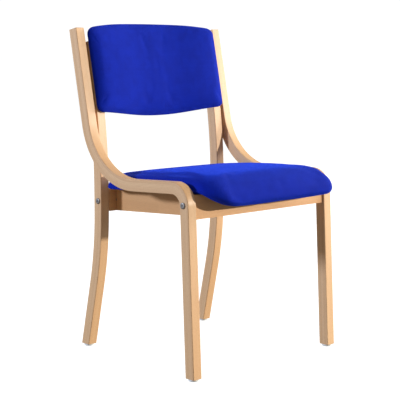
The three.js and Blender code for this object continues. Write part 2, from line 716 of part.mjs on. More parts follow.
// Seat pad: its rings from the underside to the rolled rim, as shares of the roll, the lip's
// depth and the pad's height. The first two rings lie behind the hanging front lip.
const SEAT_RING_SHARES = [
  { inset: 0.77, front: 1, height: 0, behindLip: true },
  { inset: 0.54, front: 0.72, height: 0, behindLip: true },
  { inset: 0.31, front: 0.32, height: 0 },
  { inset: 0.1, front: 0.1, height: 0.16 },
  { inset: 0, front: 0, height: 0.43 },
  { inset: 0.04, front: 0.01, height: 0.68 },
  { inset: 0.19, front: 0.08, height: 0.865 },
  { inset: 0.5, front: 0.24, height: 0.97 },
  { inset: 1, front: 0.52, height: 1 },
];
const SEAT_INNER_RING_SHARES = [0.72, 0.42];

function seatLipDrop(x, y) {
  const lipBack = SEAT_FRONT_Y + SEAT_LIP_DEPTH;
  const forward = smooth((lipBack - y) / SEAT_LIP_BLEND);
  const pastCorner = Math.abs(x) - (SEAT_HALF_WIDTH - SEAT_LIP_CORNER);
  const fade = THREE.MathUtils.clamp(pastCorner / (SEAT_LIP_CORNER - SEAT_LIP_SIDE), 0, 1);
  return SEAT_LIP_DROP * forward * (1 - fade * fade);
}

function seatCrown(x, y) {
  const middleY = (SEAT_FRONT_Y + SEAT_REAR_Y) / 2;
  const halfDepth = (SEAT_REAR_Y - SEAT_FRONT_Y) / 2;
  const across = 1 - (x / SEAT_HALF_WIDTH) ** 2;
  const along = 1 - ((y - middleY) / halfDepth) ** 2;
  return SEAT_CROWN * Math.max(0, across) * Math.max(0, along);
}

function seatRingLoop(ring, shrink) {
  const inset = ring.inset * SEAT_ROLL;
  const front = ring.front * SEAT_LIP_DEPTH;
  return roundedLoop(
    SEAT_HALF_WIDTH - inset - shrink,
    SEAT_FRONT_Y + front + (ring.behindLip ? -shrink : shrink),
    SEAT_REAR_Y - inset - shrink,
    SEAT_CORNER_RADIUS - Math.min(inset, SEAT_CORNER_RADIUS / 2),
  );
}

function seatPad(shrink) {
  const loops = SEAT_RING_SHARES.map((ring) => {
    const full = seatRingLoop(ring, 0);
    const rise = ring.height;
    const level = shrink + rise * (SEAT_PAD_HEIGHT - 2 * shrink);
    return seatRingLoop(ring, shrink).map((p, i) => {
      const drop = seatLipDrop(full[i].x, full[i].y) * (1 - smooth(rise));
      const crown = seatCrown(full[i].x, full[i].y) * smooth(rise);
      return point3(p.x, p.y, level - drop + crown);
    });
  });
  const middleY = (SEAT_FRONT_Y + SEAT_REAR_Y) / 2;
  const rim = loops[loops.length - 1];
  const top = SEAT_PAD_HEIGHT - shrink;
  for (const share of SEAT_INNER_RING_SHARES) {
    loops.push(rim.map((p) => {
      const x = p.x * share;
      const y = middleY + (p.y - middleY) * share;
      return point3(x, y, top + seatCrown(x, y));
    }));
  }
  const topMiddle = point3(0, middleY, top + seatCrown(0, middleY));
  return stackedLoops(loops, point3(0, middleY, shrink), topMiddle);
}

// The seat board's outline, grown for a pocket or shrunk for the lining
function seatBoardOutline(grow) {
  return roundedLoop(
    SEAT_HALF_WIDTH - SEAT_BOARD_INSET + grow,
    SEAT_FRONT_Y + SEAT_LIP_DEPTH - SEAT_BOARD_INSET - grow,
    SEAT_REAR_Y - SEAT_BOARD_INSET + grow,
    SEAT_BOARD_CORNER,
  );
}

const SEAT_BOARD_BASE = COVER_THICKNESS + JOINT_GAP;
const SEAT_BOARD_TOP = SEAT_BOARD_BASE + SEAT_BOARD_THICKNESS;
const SEAT_LINING_IN = SEAT_CLOTH_LAP - SEAT_BOARD_INSET;

function seatScrewHoles(low, high) {
  const holes = [];
  for (const { sign } of SIDES) {
    for (const block of BLOCK_PLACES) {
      const at = seatScrewPlace(sign, block);
      const diameter = SEAT_SCREW_DIAMETER + 2 * JOINT_GAP;
      holes.push(rod(diameter, point3(at.x, at.y, low), point3(at.x, at.y, high)));
    }
  }
  return holes;
}

function seatBoard() {
  const board = plate(seatBoardOutline(0), SEAT_BOARD_THICKNESS).translate(0, 0, SEAT_BOARD_BASE);
  return cut(board, seatScrewHoles(-OVERRUN, SEAT_BOARD_BASE + SEAT_SCREW_BITE + JOINT_GAP));
}

function seatFoam() {
  const pocketHeight = SEAT_LIP_DROP + SEAT_BOARD_TOP + JOINT_GAP + OVERRUN;
  const pocket = plate(seatBoardOutline(JOINT_GAP), pocketHeight);
  pocket.translate(0, 0, -SEAT_LIP_DROP - OVERRUN);
  return cut(seatPad(COVER_THICKNESS + 2 * JOINT_GAP), [pocket]);
}

function seatCover() {
  const openingDepth = SEAT_BOARD_TOP + OVERRUN;
  const opening = plate(seatBoardOutline(-SEAT_LINING_IN), openingDepth).translate(0, 0, -OVERRUN);
  const holes = seatScrewHoles(-OVERRUN, SEAT_BOARD_TOP);
  return cut(seatPad(0), [seatPad(COVER_THICKNESS), opening, ...holes]);
}

function seatLining() {
  const sheet = plate(seatBoardOutline(-SEAT_LINING_IN - JOINT_GAP), LINING_THICKNESS);
  sheet.translate(0, 0, SEAT_BOARD_BASE - LINING_THICKNESS - JOINT_GAP);
  return cut(sheet, seatScrewHoles(-OVERRUN, SEAT_BOARD_TOP));
}

// The pad rests on the rails
const seatPadFrame = new THREE.Group();
seatPadFrame.position.z = JOINT_GAP;
seatFrame.add(seatPadFrame);

addMesh(seatPadFrame, 'seat_board', seatBoard(), plywood());
addMesh(seatPadFrame, 'seat_foam', seatFoam(), foam());
addMesh(seatPadFrame, 'seat_cover', seatCover(), blueCloth());
addMesh(seatPadFrame, 'seat_lining', seatLining(), blackCloth());

// A pan-head screw along +y, the head below zero
function panScrew(head, headHeight, shank, length) {
  const profile = [
    point2(0, -headHeight),
    point2(head / 3, -headHeight),
    point2(head / 2, -headHeight / 3),
    point2(head / 2, 0),
    point2(shank / 2, 0),
    point2(shank / 2, length),
    point2(0, length),
  ];
  return new THREE.LatheGeometry(profile, SMALL_ROUND_SIDES);
}

for (const { name, sign } of SIDES) {
  for (const block of BLOCK_PLACES) {
    const at = seatScrewPlace(sign, block);
    const seat = BLOCK_HEIGHT + 2 * JOINT_GAP;
    const length = seat + SEAT_BOARD_BASE + SEAT_SCREW_BITE;
    const screw = panScrew(SEAT_SCREW_HEAD, SEAT_SCREW_HEAD_HEIGHT, SEAT_SCREW_DIAMETER, length);
    screw.rotateX(Math.PI / 2);
    const mesh = addMesh(seatFrame, `seat_screw_${block.name}_${name}`, screw, steel());
    mesh.position.set(at.x, at.y, -seat);
  }
}

// Back pad, hollow side forward in plan

// How far behind the uprights' front plane the pad's rear face lies
function backCurve(x) {
  const rest = Math.sqrt(BACK_CURVE_RADIUS ** 2 - REAR_INNER_X ** 2);
  return Math.sqrt(BACK_CURVE_RADIUS ** 2 - x ** 2) - rest - JOINT_GAP;
}

const BACK_MIDDLE = (BACK_TOP + BACK_BOTTOM) / 2;
const BACK_HALF_HEIGHT = (BACK_TOP - BACK_BOTTOM) / 2;

// Back pad: its rings from the rear face to the rolled rim, as shares of the roll and the height
const BACK_RING_SHARES = [
  { inset: 0.75, height: 0 },
  { inset: 0.25, height: 0 },
  { inset: 0.05, height: 0.14 },
  { inset: 0, height: 0.41 },
  { inset: 0.125, height: 0.68 },
  { inset: 0.44, height: 0.89 },
  { inset: 1, height: 1 },
];
const BACK_INNER_RING_SHARES = [0.84, 0.6, 0.32];

// Bows the top and bottom edges of the pad outwards
function backCrowned(x, z) {
  const across = Math.max(0, 1 - (x / BACK_HALF_WIDTH) ** 2);
  const share = (z - BACK_MIDDLE) / BACK_HALF_HEIGHT;
  const crown = share > 0 ? BACK_TOP_CROWN : BACK_BOTTOM_CROWN;
  return z + crown * across * share;
}

function backSwell(x, z) {
  const across = Math.max(0, 1 - (x / BACK_HALF_WIDTH) ** 2);
  const along = Math.max(0, 1 - ((z - BACK_MIDDLE) / BACK_HALF_HEIGHT) ** 2);
  return BACK_SWELL * Math.sqrt(across) * along;
}

function backPlace(x, z, height) {
  return point3(x, backCurve(x) - height, backCrowned(x, z));
}

function backPad(shrink) {
  const loops = BACK_RING_SHARES.map((ring) => {
    const inset = ring.inset * BACK_ROLL;
    const loop = roundedLoop(
      BACK_HALF_WIDTH - inset - shrink,
      BACK_BOTTOM + inset + shrink,
      BACK_TOP - inset - shrink,
      BACK_CORNER_RADIUS - Math.min(inset, BACK_CORNER_RADIUS / 2),
    );
    const level = shrink + ring.height * (BACK_RIM_HEIGHT - 2 * shrink);
    return loop.map((p) => ({ x: p.x, z: p.y, height: level, rise: ring.height }));
  });
  const rim = loops[loops.length - 1];
  const base = loops[0];
  const scaled = (loop, share) => loop.map((p) => ({
    ...p,
    x: p.x * share,
    z: BACK_MIDDLE + (p.z - BACK_MIDDLE) * share,
  }));
  const front = BACK_INNER_RING_SHARES.map((share) => scaled(rim, share));
  const rear = BACK_INNER_RING_SHARES.map((share) => scaled(base, share)).reverse();
  const placed = [...rear, ...loops, ...front].map((loop) => loop.map((p) => {
    const swell = backSwell(p.x, p.z) * smooth(p.rise);
    return backPlace(p.x, p.z, p.height + swell);
  }));
  const top = BACK_RIM_HEIGHT - shrink + backSwell(0, BACK_MIDDLE);
  return stackedLoops(placed, backPlace(0, BACK_MIDDLE, shrink), backPlace(0, BACK_MIDDLE, top));
}

// A curved slab behind the pad's front, between two depths from its rear face
function backSlab(nearRear, farFront, halfWidth, low, high) {
  const outline = [];
  for (let step = 0; step <= 2 * PAD_SIDE_STEPS; step += 1) {
    const x = halfWidth * (step / PAD_SIDE_STEPS - 1);
    outline.push(point2(x, backCurve(x) - nearRear));
  }
  for (let step = 2 * PAD_SIDE_STEPS; step >= 0; step -= 1) {
    const x = halfWidth * (step / PAD_SIDE_STEPS - 1);
    outline.push(point2(x, backCurve(x) - farFront));
  }
  return plate(outline, high - low).translate(0, 0, low);
}

// The pad's outline in its own plane, as a cutter or a limit
function backOutlinePrism(inset) {
  const loop = roundedLoop(
    BACK_HALF_WIDTH - inset,
    BACK_BOTTOM + inset,
    BACK_TOP - inset,
    BACK_CORNER_RADIUS,
  );
  const crowned = loop.map((p) => point2(p.x, backCrowned(p.x, p.y)));
  const reach = BACK_HALF_WIDTH;
  const prism = plate(crowned, reach);
  return prism.rotateX(Math.PI / 2).translate(0, reach / 2, 0);
}

const BACK_BOARD_REAR = COVER_THICKNESS + 3 * JOINT_GAP;
const BACK_BOARD_FRONT = BACK_BOARD_REAR + BACK_BOARD_THICKNESS;
const BACK_TALL_LOW = BACK_BOTTOM - BACK_BOTTOM_CROWN - OVERRUN;
const BACK_TALL_HIGH = BACK_TOP + BACK_TOP_CROWN + OVERRUN;
const BACK_WIDE = BACK_HALF_WIDTH + OVERRUN;

function backHoles(diameter, y0, y1) {
  const holes = [];
  for (const { sign } of SIDES) {
    for (const drop of BACK_SCREW_DROPS) {
      holes.push(rod(diameter, point3(sign * backScrewX, y0, -drop), point3(sign * backScrewX, y1, -drop)));
    }
  }
  return holes;
}

const backBoardRearY = backCurve(backScrewX) - BACK_BOARD_REAR;
const insertRearY = backBoardRearY - JOINT_GAP;
const insertLength = BACK_BOARD_THICKNESS - 3 * JOINT_GAP;

function backBoard() {
  const slab = backSlab(BACK_BOARD_REAR, BACK_BOARD_FRONT, BACK_WIDE, BACK_TALL_LOW, BACK_TALL_HIGH);
  const board = keepInside(slab, backOutlinePrism(BACK_BOARD_INSET));
  const deep = backBoardRearY - BACK_BOARD_THICKNESS - OVERRUN;
  return cut(board, backHoles(INSERT_DIAMETER + 2 * JOINT_GAP, OVERRUN, deep));
}

function backFoam() {
  const behind = backSlab(-OVERRUN, BACK_BOARD_FRONT + JOINT_GAP, BACK_WIDE, BACK_TALL_LOW, BACK_TALL_HIGH);
  const pocket = keepInside(behind, backOutlinePrism(BACK_BOARD_INSET - JOINT_GAP));
  return cut(backPad(COVER_THICKNESS + 2 * JOINT_GAP), [pocket]);
}

function backCover() {
  const rear = backSlab(-OVERRUN, BACK_BOARD_FRONT, BACK_WIDE, BACK_TALL_LOW, BACK_TALL_HIGH);
  const opening = keepInside(rear, backOutlinePrism(BACK_CLOTH_LAP));
  const holes = backHoles(BACK_SCREW_DIAMETER + 2 * JOINT_GAP, OVERRUN, backBoardRearY);
  return cut(backPad(0), [backPad(COVER_THICKNESS), opening, ...holes]);
}

function backLining() {
  const rear = BACK_BOARD_REAR - JOINT_GAP;
  const sheet = backSlab(rear - LINING_THICKNESS, rear, BACK_WIDE, BACK_TALL_LOW, BACK_TALL_HIGH);
  return keepInside(sheet, backOutlinePrism(BACK_CLOTH_LAP + JOINT_GAP));
}

addMesh(backFrame, 'back_board', backBoard(), plywood());
addMesh(backFrame, 'back_foam', backFoam(), foam());
addMesh(backFrame, 'back_cover', backCover(), blueCloth());
addMesh(backFrame, 'back_lining', backLining(), blueCloth());

for (const { name, sign } of SIDES) {
  BACK_SCREW_DROPS.forEach((drop, i) => {
    const x = sign * backScrewX;
    const end = insertRearY - insertLength;
    const headSeat = STRIP_THICKNESS + JOINT_GAP;
    const length = headSeat - end - JOINT_GAP;
    const screw = panScrew(BACK_SCREW_HEAD, BACK_SCREW_HEAD_HEIGHT, BACK_SCREW_DIAMETER, length);
    screw.rotateX(Math.PI);
    const mesh = addMesh(backFrame, `back_screw_${name}_${i + 1}`, screw, steel());
    mesh.position.set(x, headSeat, -drop);

    const sleeve = rod(INSERT_DIAMETER, point3(0, insertRearY, 0), point3(0, end, 0), ROUND_SIDES);
    const bore = rod(
      BACK_SCREW_DIAMETER + 2 * JOINT_GAP,
      point3(0, insertRearY + OVERRUN, 0),
      point3(0, end - OVERRUN, 0),
    );
    const insert = addMesh(backFrame, `back_insert_${name}_${i + 1}`, cut(sleeve, [bore]), brass());
    insert.position.set(x, 0, -drop);
  });
}

// Nail-on glides

function glidePad() {
  const half = GLIDE_DIAMETER / 2;
  const top = GLIDE_HEIGHT - JOINT_GAP;
  const shank = NAIL_DIAMETER / 2 + JOINT_GAP;
  const head = NAIL_HEAD_DIAMETER / 2 + JOINT_GAP;
  const ledge = NAIL_HEAD_RECESS + NAIL_HEAD_HEIGHT + JOINT_GAP;
  const profile = [
    point2(head, 0),
    point2(half - GLIDE_EDGE, 0),
    point2(half, GLIDE_EDGE),
    point2(half, top),
    point2(shank, top),
    point2(shank, ledge),
    point2(head, ledge),
    point2(head, 0),
  ];
  return new THREE.LatheGeometry(profile, ROUND_SIDES).rotateX(Math.PI / 2);
}

function glideNail() {
  const top = GLIDE_HEIGHT + NAIL_BITE;
  const ledge = NAIL_HEAD_RECESS + NAIL_HEAD_HEIGHT;
  const profile = [
    point2(0, NAIL_HEAD_RECESS),
    point2(NAIL_HEAD_DIAMETER / 2, NAIL_HEAD_RECESS),
    point2(NAIL_HEAD_DIAMETER / 2, ledge),
    point2(NAIL_DIAMETER / 2, ledge),
    point2(NAIL_DIAMETER / 2, top - NAIL_DIAMETER),
    point2(0, top),
  ];
  return new THREE.LatheGeometry(profile, SMALL_ROUND_SIDES).rotateX(Math.PI / 2);
}

for (const { name, sign } of SIDES) {
  for (const foot of FOOT_PLACES) {
    const pad = addMesh(chair, `glide_${foot.name}_${name}`, glidePad(), whitePlastic());
    pad.position.set(sign * foot.x, foot.y, 0);
    const nail = addMesh(chair, `glide_nail_${foot.name}_${name}`, glideNail(), steel());
    nail.position.set(sign * foot.x, foot.y, 0);
  }
}

// Centres the chair's box on the origin, with its feet on the floor
chair.updateMatrixWorld(true);
const bounds = new THREE.Box3().setFromObject(chair, true);
chair.position.y = -(bounds.min.y + bounds.max.y) / 2;
chair.updateMatrixWorld(true);

export default chair;
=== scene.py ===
"""Choir chair: a bentwood beech frame with an upholstered seat and back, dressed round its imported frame.

Metres. +Z is up, the sitter faces -Y, and the sitter's right is at -X.
"""

import json
import logging
import math
from collections.abc import Callable, Iterable, Sequence
from dataclasses import dataclass, field
from enum import Enum

import bpy
import numpy as np
from bpy.types import Material, Node, NodeSocket, NodeTree, Object
from mathutils import Matrix, Vector

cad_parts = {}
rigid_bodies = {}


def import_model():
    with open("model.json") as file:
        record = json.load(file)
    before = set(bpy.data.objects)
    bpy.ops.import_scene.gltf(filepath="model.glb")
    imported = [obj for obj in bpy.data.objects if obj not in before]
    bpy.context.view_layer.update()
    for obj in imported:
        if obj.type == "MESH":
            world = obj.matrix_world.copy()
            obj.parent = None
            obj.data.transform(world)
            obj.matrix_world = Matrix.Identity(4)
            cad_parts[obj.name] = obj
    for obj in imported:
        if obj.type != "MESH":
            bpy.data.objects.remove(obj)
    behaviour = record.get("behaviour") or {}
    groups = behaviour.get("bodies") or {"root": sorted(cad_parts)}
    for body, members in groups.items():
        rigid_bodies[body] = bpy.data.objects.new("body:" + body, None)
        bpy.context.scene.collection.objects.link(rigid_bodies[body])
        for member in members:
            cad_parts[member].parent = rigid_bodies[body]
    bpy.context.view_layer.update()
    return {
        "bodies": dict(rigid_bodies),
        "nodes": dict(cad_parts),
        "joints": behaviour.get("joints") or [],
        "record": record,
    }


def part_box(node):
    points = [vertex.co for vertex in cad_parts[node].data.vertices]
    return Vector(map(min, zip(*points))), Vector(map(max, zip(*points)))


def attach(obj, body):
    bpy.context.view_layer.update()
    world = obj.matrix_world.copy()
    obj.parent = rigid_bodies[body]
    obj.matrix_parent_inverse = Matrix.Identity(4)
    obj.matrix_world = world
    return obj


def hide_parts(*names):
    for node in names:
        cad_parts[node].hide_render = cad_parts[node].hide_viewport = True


log = logging.getLogger("choir_chair")

BODY = "root"
BOX_SHIFT_Y = 0.017729
SEAT_TILT = math.radians(2.9)
SEAT_BASE_HEIGHT = 0.414
UPRIGHT_LEAN = math.radians(11.6)
UPRIGHT_TOP = Vector((0.0, 0.19698 + BOX_SHIFT_Y, 0.806))
JOINT_GAP = 0.0003
STRIP_STRIDE = 5.0

SEAT_SPACE = Matrix.Translation((0.0, BOX_SHIFT_Y, SEAT_BASE_HEIGHT)) @ Matrix.Rotation(-SEAT_TILT, 4, "X")
SEAT_PAD_SPACE = SEAT_SPACE @ Matrix.Translation((0.0, 0.0, JOINT_GAP))
BACK_SPACE = Matrix.Translation(UPRIGHT_TOP) @ Matrix.Rotation(-UPRIGHT_LEAN, 4, "X")


class Side(Enum):
    """The sitter's two sides, as the sign of x."""

    LEFT = 1
    RIGHT = -1

    @property
    def label(self) -> str:
        """The side's name as the nodes spell it."""
        return self.name.lower()


class Grain(Enum):
    """Which way the fibres of a straight piece run."""

    ACROSS = "x"
    ALONG = "y"
    UPRIGHT = "z"
    BENT = "strip"


# Mesh helpers


def smoothstep(share: np.ndarray | float) -> np.ndarray:
    """Eases from 0 to 1 as share goes from 0 to 1."""
    t = np.clip(share, 0.0, 1.0)
    return t * t * (3.0 - 2.0 * t)


def placed(points: np.ndarray, space: Matrix) -> np.ndarray:
    """Moves points from a piece's own space into the chair's.

    Args:
        points: Rows of x, y, z.
        space: The piece's space.

    Returns:
        The moved rows.
    """
    matrix = np.array(space, float)
    return points @ matrix[:3, :3].T + matrix[:3, 3]


def mesh_object(name: str, points: Sequence, faces: Sequence, material: Material | None = None) -> Object:
    """Makes a smooth-shaded mesh object at the origin.

    Args:
        name: Name of the object and its mesh.
        points: Vertex places in metres.
        faces: Vertex numbers of each face, or of each edge where a row has two.
        material: Its only material.

    Returns:
        The object, linked to the scene.
    """
    mesh = bpy.data.meshes.new(name)
    is_line = len(faces) > 0 and len(faces[0]) == 2
    mesh.from_pydata([tuple(p) for p in points], faces if is_line else [], [] if is_line else faces)
    mesh.shade_smooth()
    mesh.update()
    if material is not None:
        mesh.materials.append(material)
    piece = bpy.data.objects.new(name, mesh)
    bpy.context.scene.collection.objects.link(piece)
    return piece


def settle_modifiers(piece: Object) -> Object:
    """Turns a piece's evaluated shape into its plain mesh and takes the modifiers off.

    Args:
        piece: An object with modifiers.

    Returns:
        The same object.
    """
    graph = bpy.context.evaluated_depsgraph_get()
    mesh = bpy.data.meshes.new_from_object(piece.evaluated_get(graph), depsgraph=graph)
    mesh.name = piece.name
    piece.modifiers.clear()
    piece.data = mesh
    return piece


def crease(piece: Object, angle: float) -> None:
    """Shades a piece smoothly, with its edges over an angle kept crisp."""
    piece.data.shade_smooth()
    piece.data.set_sharp_from_angle(angle=angle)


def face_points(piece: Object, facings: Sequence[float]) -> None:
    """Keeps on each point the way that its fastener faces, as a run of x, y and z."""
    piece.data.attributes.new("facing", "FLOAT_VECTOR", "POINT").data.foreach_set("vector", facings)


def weigh_normals(piece: Object, sharp: float) -> None:
    """Shades broad faces flat and lets only the small faces at the edges turn the light.

    Args:
        piece: The object, with its modifiers settled.
        sharp: Edges over this angle stay crisp.
    """
    crease(piece, sharp)
    modifier = piece.modifiers.new("broad_faces", "WEIGHTED_NORMAL")
    modifier.keep_sharp = True
    modifier.weight = 80
    settle_modifiers(piece)


def turned(profile: Sequence[tuple[float, float]], sides: int) -> tuple[list, list]:
    """Turns a profile round the z axis.

    Args:
        profile: Radius and height of each ring, from the bottom up; a radius of zero closes the shape.
        sides: Points in a ring.

    Returns:
        Vertices and faces.
    """
    rings = [[(r * math.cos(a), r * math.sin(a), z) for a in circle(sides)] for r, z in profile]
    return stacked(rings)


def circle(sides: int) -> list[float]:
    """The angles of the points of one ring."""
    return [2.0 * math.pi * k / sides for k in range(sides)]


def stacked(rings: Sequence[Sequence[tuple[float, float, float]]]) -> tuple[list, list]:
    """Joins rings of points into a closed skin; a ring whose points meet becomes a pole.

    Args:
        rings: Rings with the same count, counter-clockwise from above, from the bottom up.

    Returns:
        Vertices and faces.
    """
    points: list = []
    rows: list[list[int]] = []
    for ring in rings:
        first = ring[0]
        if all(math.dist(first, p) < 1e-9 for p in ring):
            rows.append([len(points)] * len(ring))
            points.append(first)
        else:
            rows.append(list(range(len(points), len(points) + len(ring))))
            points.extend(ring)
    faces = []
    for low, high in zip(rows, rows[1:]):
        count = len(low)
        for k in range(count):
            corner = [low[k], low[(k + 1) % count], high[(k + 1) % count], high[k]]
            faces.append(tuple(dict.fromkeys(corner)))
    if rows[0][0] != rows[0][1]:
        faces.append(tuple(reversed(rows[0])))
    if rows[-1][0] != rows[-1][1]:
        faces.append(tuple(rows[-1]))
    return points, faces


# Node helpers


@dataclass
class Wiring:
    """Adds nodes to a tree and joins them, for shaders and geometry alike."""

    tree: NodeTree

    def add(self, kind: str, inputs: dict | None = None, **settings: object) -> Node:
        """Adds a node.

        Args:
            kind: The node's type name.
            inputs: Values or sockets for its inputs, by name or number.
            **settings: The node's own settings.

        Returns:
            The node.
        """
        node = self.tree.nodes.new(kind)
        for key, value in settings.items():
            setattr(node, key, value)
        for key, value in (inputs or {}).items():
            self.feed(node.inputs[key], value)
        return node

    def feed(self, socket: NodeSocket, value: object) -> None:
        """Joins a socket to another one, or gives it a value."""
        if isinstance(value, NodeSocket):
            self.tree.links.new(value, socket)
        else:
            socket.default_value = value

    def math(self, operation: str, a: object, b: object = 0.0, c: object = 0.0) -> NodeSocket:
        """One arithmetic step on numbers or sockets."""
        return self.add("ShaderNodeMath", {0: a, 1: b, 2: c}, operation=operation).outputs[0]

    def times(self, a: object, b: object) -> NodeSocket:
        """The product of two numbers or sockets."""
        return self.math("MULTIPLY", a, b)

    def plus(self, a: object, b: object) -> NodeSocket:
        """The sum of two numbers or sockets."""
        return self.math("ADD", a, b)

    def pick(self, share: object, a: object, b: object) -> NodeSocket:
        """The first number where share is 1, and the second where it is 0."""
        return self.plus(self.times(a, share), self.times(b, self.math("SUBTRACT", 1.0, share)))

    def ramp(
        self, value: object, low: float, high: float, to_low: float = 0.0, to_high: float = 1.0
    ) -> NodeSocket:
        """Maps value from low..high onto to_low..to_high with eased ends."""
        node = self.add(
            "ShaderNodeMapRange",
            {"Value": value, "From Min": low, "From Max": high, "To Min": to_low, "To Max": to_high},
            interpolation_type="SMOOTHSTEP",
        )
        return node.outputs["Result"]

    def vector(self, x: object, y: object, z: object) -> NodeSocket:
        """Joins three numbers into a vector."""
        return self.add("ShaderNodeCombineXYZ", {0: x, 1: y, 2: z}).outputs[0]

    def parts(self, vector: object) -> list[NodeSocket]:
        """Splits a vector into its three numbers."""
        return list(self.add("ShaderNodeSeparateXYZ", {0: vector}).outputs)

    def noise(self, place: object, scale: float, detail: float = 2.0, roughness: float = 0.5) -> NodeSocket:
        """Soft noise, about 0 to 1, at a place."""
        node = self.add(
            "ShaderNodeTexNoise", {"Vector": place, "Scale": scale, "Detail": detail, "Roughness": roughness}
        )
        return node.outputs["Fac"]

    def cells(self, place: object, scale: float, randomness: float = 1.0) -> NodeSocket:
        """How far a place is from the nearest of many scattered points."""
        inputs = {"Vector": place, "Scale": scale, "Randomness": randomness}
        return self.add("ShaderNodeTexVoronoi", inputs).outputs["Distance"]

    def object_place(self) -> NodeSocket:
        """The place on the piece, in metres."""
        return self.add("ShaderNodeTexCoord").outputs["Object"]

    def scatter(self, place: object) -> NodeSocket:
        """A fixed random number from 0 to 1 for each distinct place."""
        return self.add("ShaderNodeTexWhiteNoise", {"Vector": place}, noise_dimensions="3D").outputs["Value"]

    def blend(self, share: object, a: object, b: object, mode: str = "MIX") -> NodeSocket:
        """Mixes two colours."""
        node = self.add("ShaderNodeMix", data_type="RGBA", blend_type=mode, clamp_factor=True)
        self.feed(node.inputs[0], share)
        self.feed(node.inputs[6], a)
        self.feed(node.inputs[7], b)
        return node.outputs[2]

    def finish(self, surface: Node, inputs: dict, relief: tuple[float, float, object]) -> None:
        """Feeds a surface shader its inputs and a bump.

        Args:
            surface: The surface shader.
            inputs: Values or sockets, by the input's name.
            relief: Strength and depth of the bump, and its height.
        """
        strength, depth, height = relief
        bump = self.add("ShaderNodeBump", {"Strength": strength, "Distance": depth, "Height": height})
        for key, value in {**inputs, "Normal": bump.outputs["Normal"]}.items():
            self.feed(surface.inputs[key], value)


def colour(red: float, green: float, blue: float) -> tuple[float, float, float, float]:
    """A display colour, each part from 0 to 255, as the linear values that a shader takes."""
    parts = [v / 255.0 for v in (red, green, blue)]
    linear = [v / 12.92 if v <= 0.04045 else ((v + 0.055) / 1.055) ** 2.4 for v in parts]
    return (linear[0], linear[1], linear[2], 1.0)


def new_finish(name: str) -> tuple[Material, Wiring, Node]:
    """Starts a material.

    Args:
        name: Its name.

    Returns:
        The material, the wiring of its tree, and its surface shader.
    """
    material = bpy.data.materials.new(name)
    material.use_nodes = True
    wiring = Wiring(material.node_tree)
    surface = material.node_tree.nodes["Principled BSDF"]
    return material, wiring, surface


# Finishes


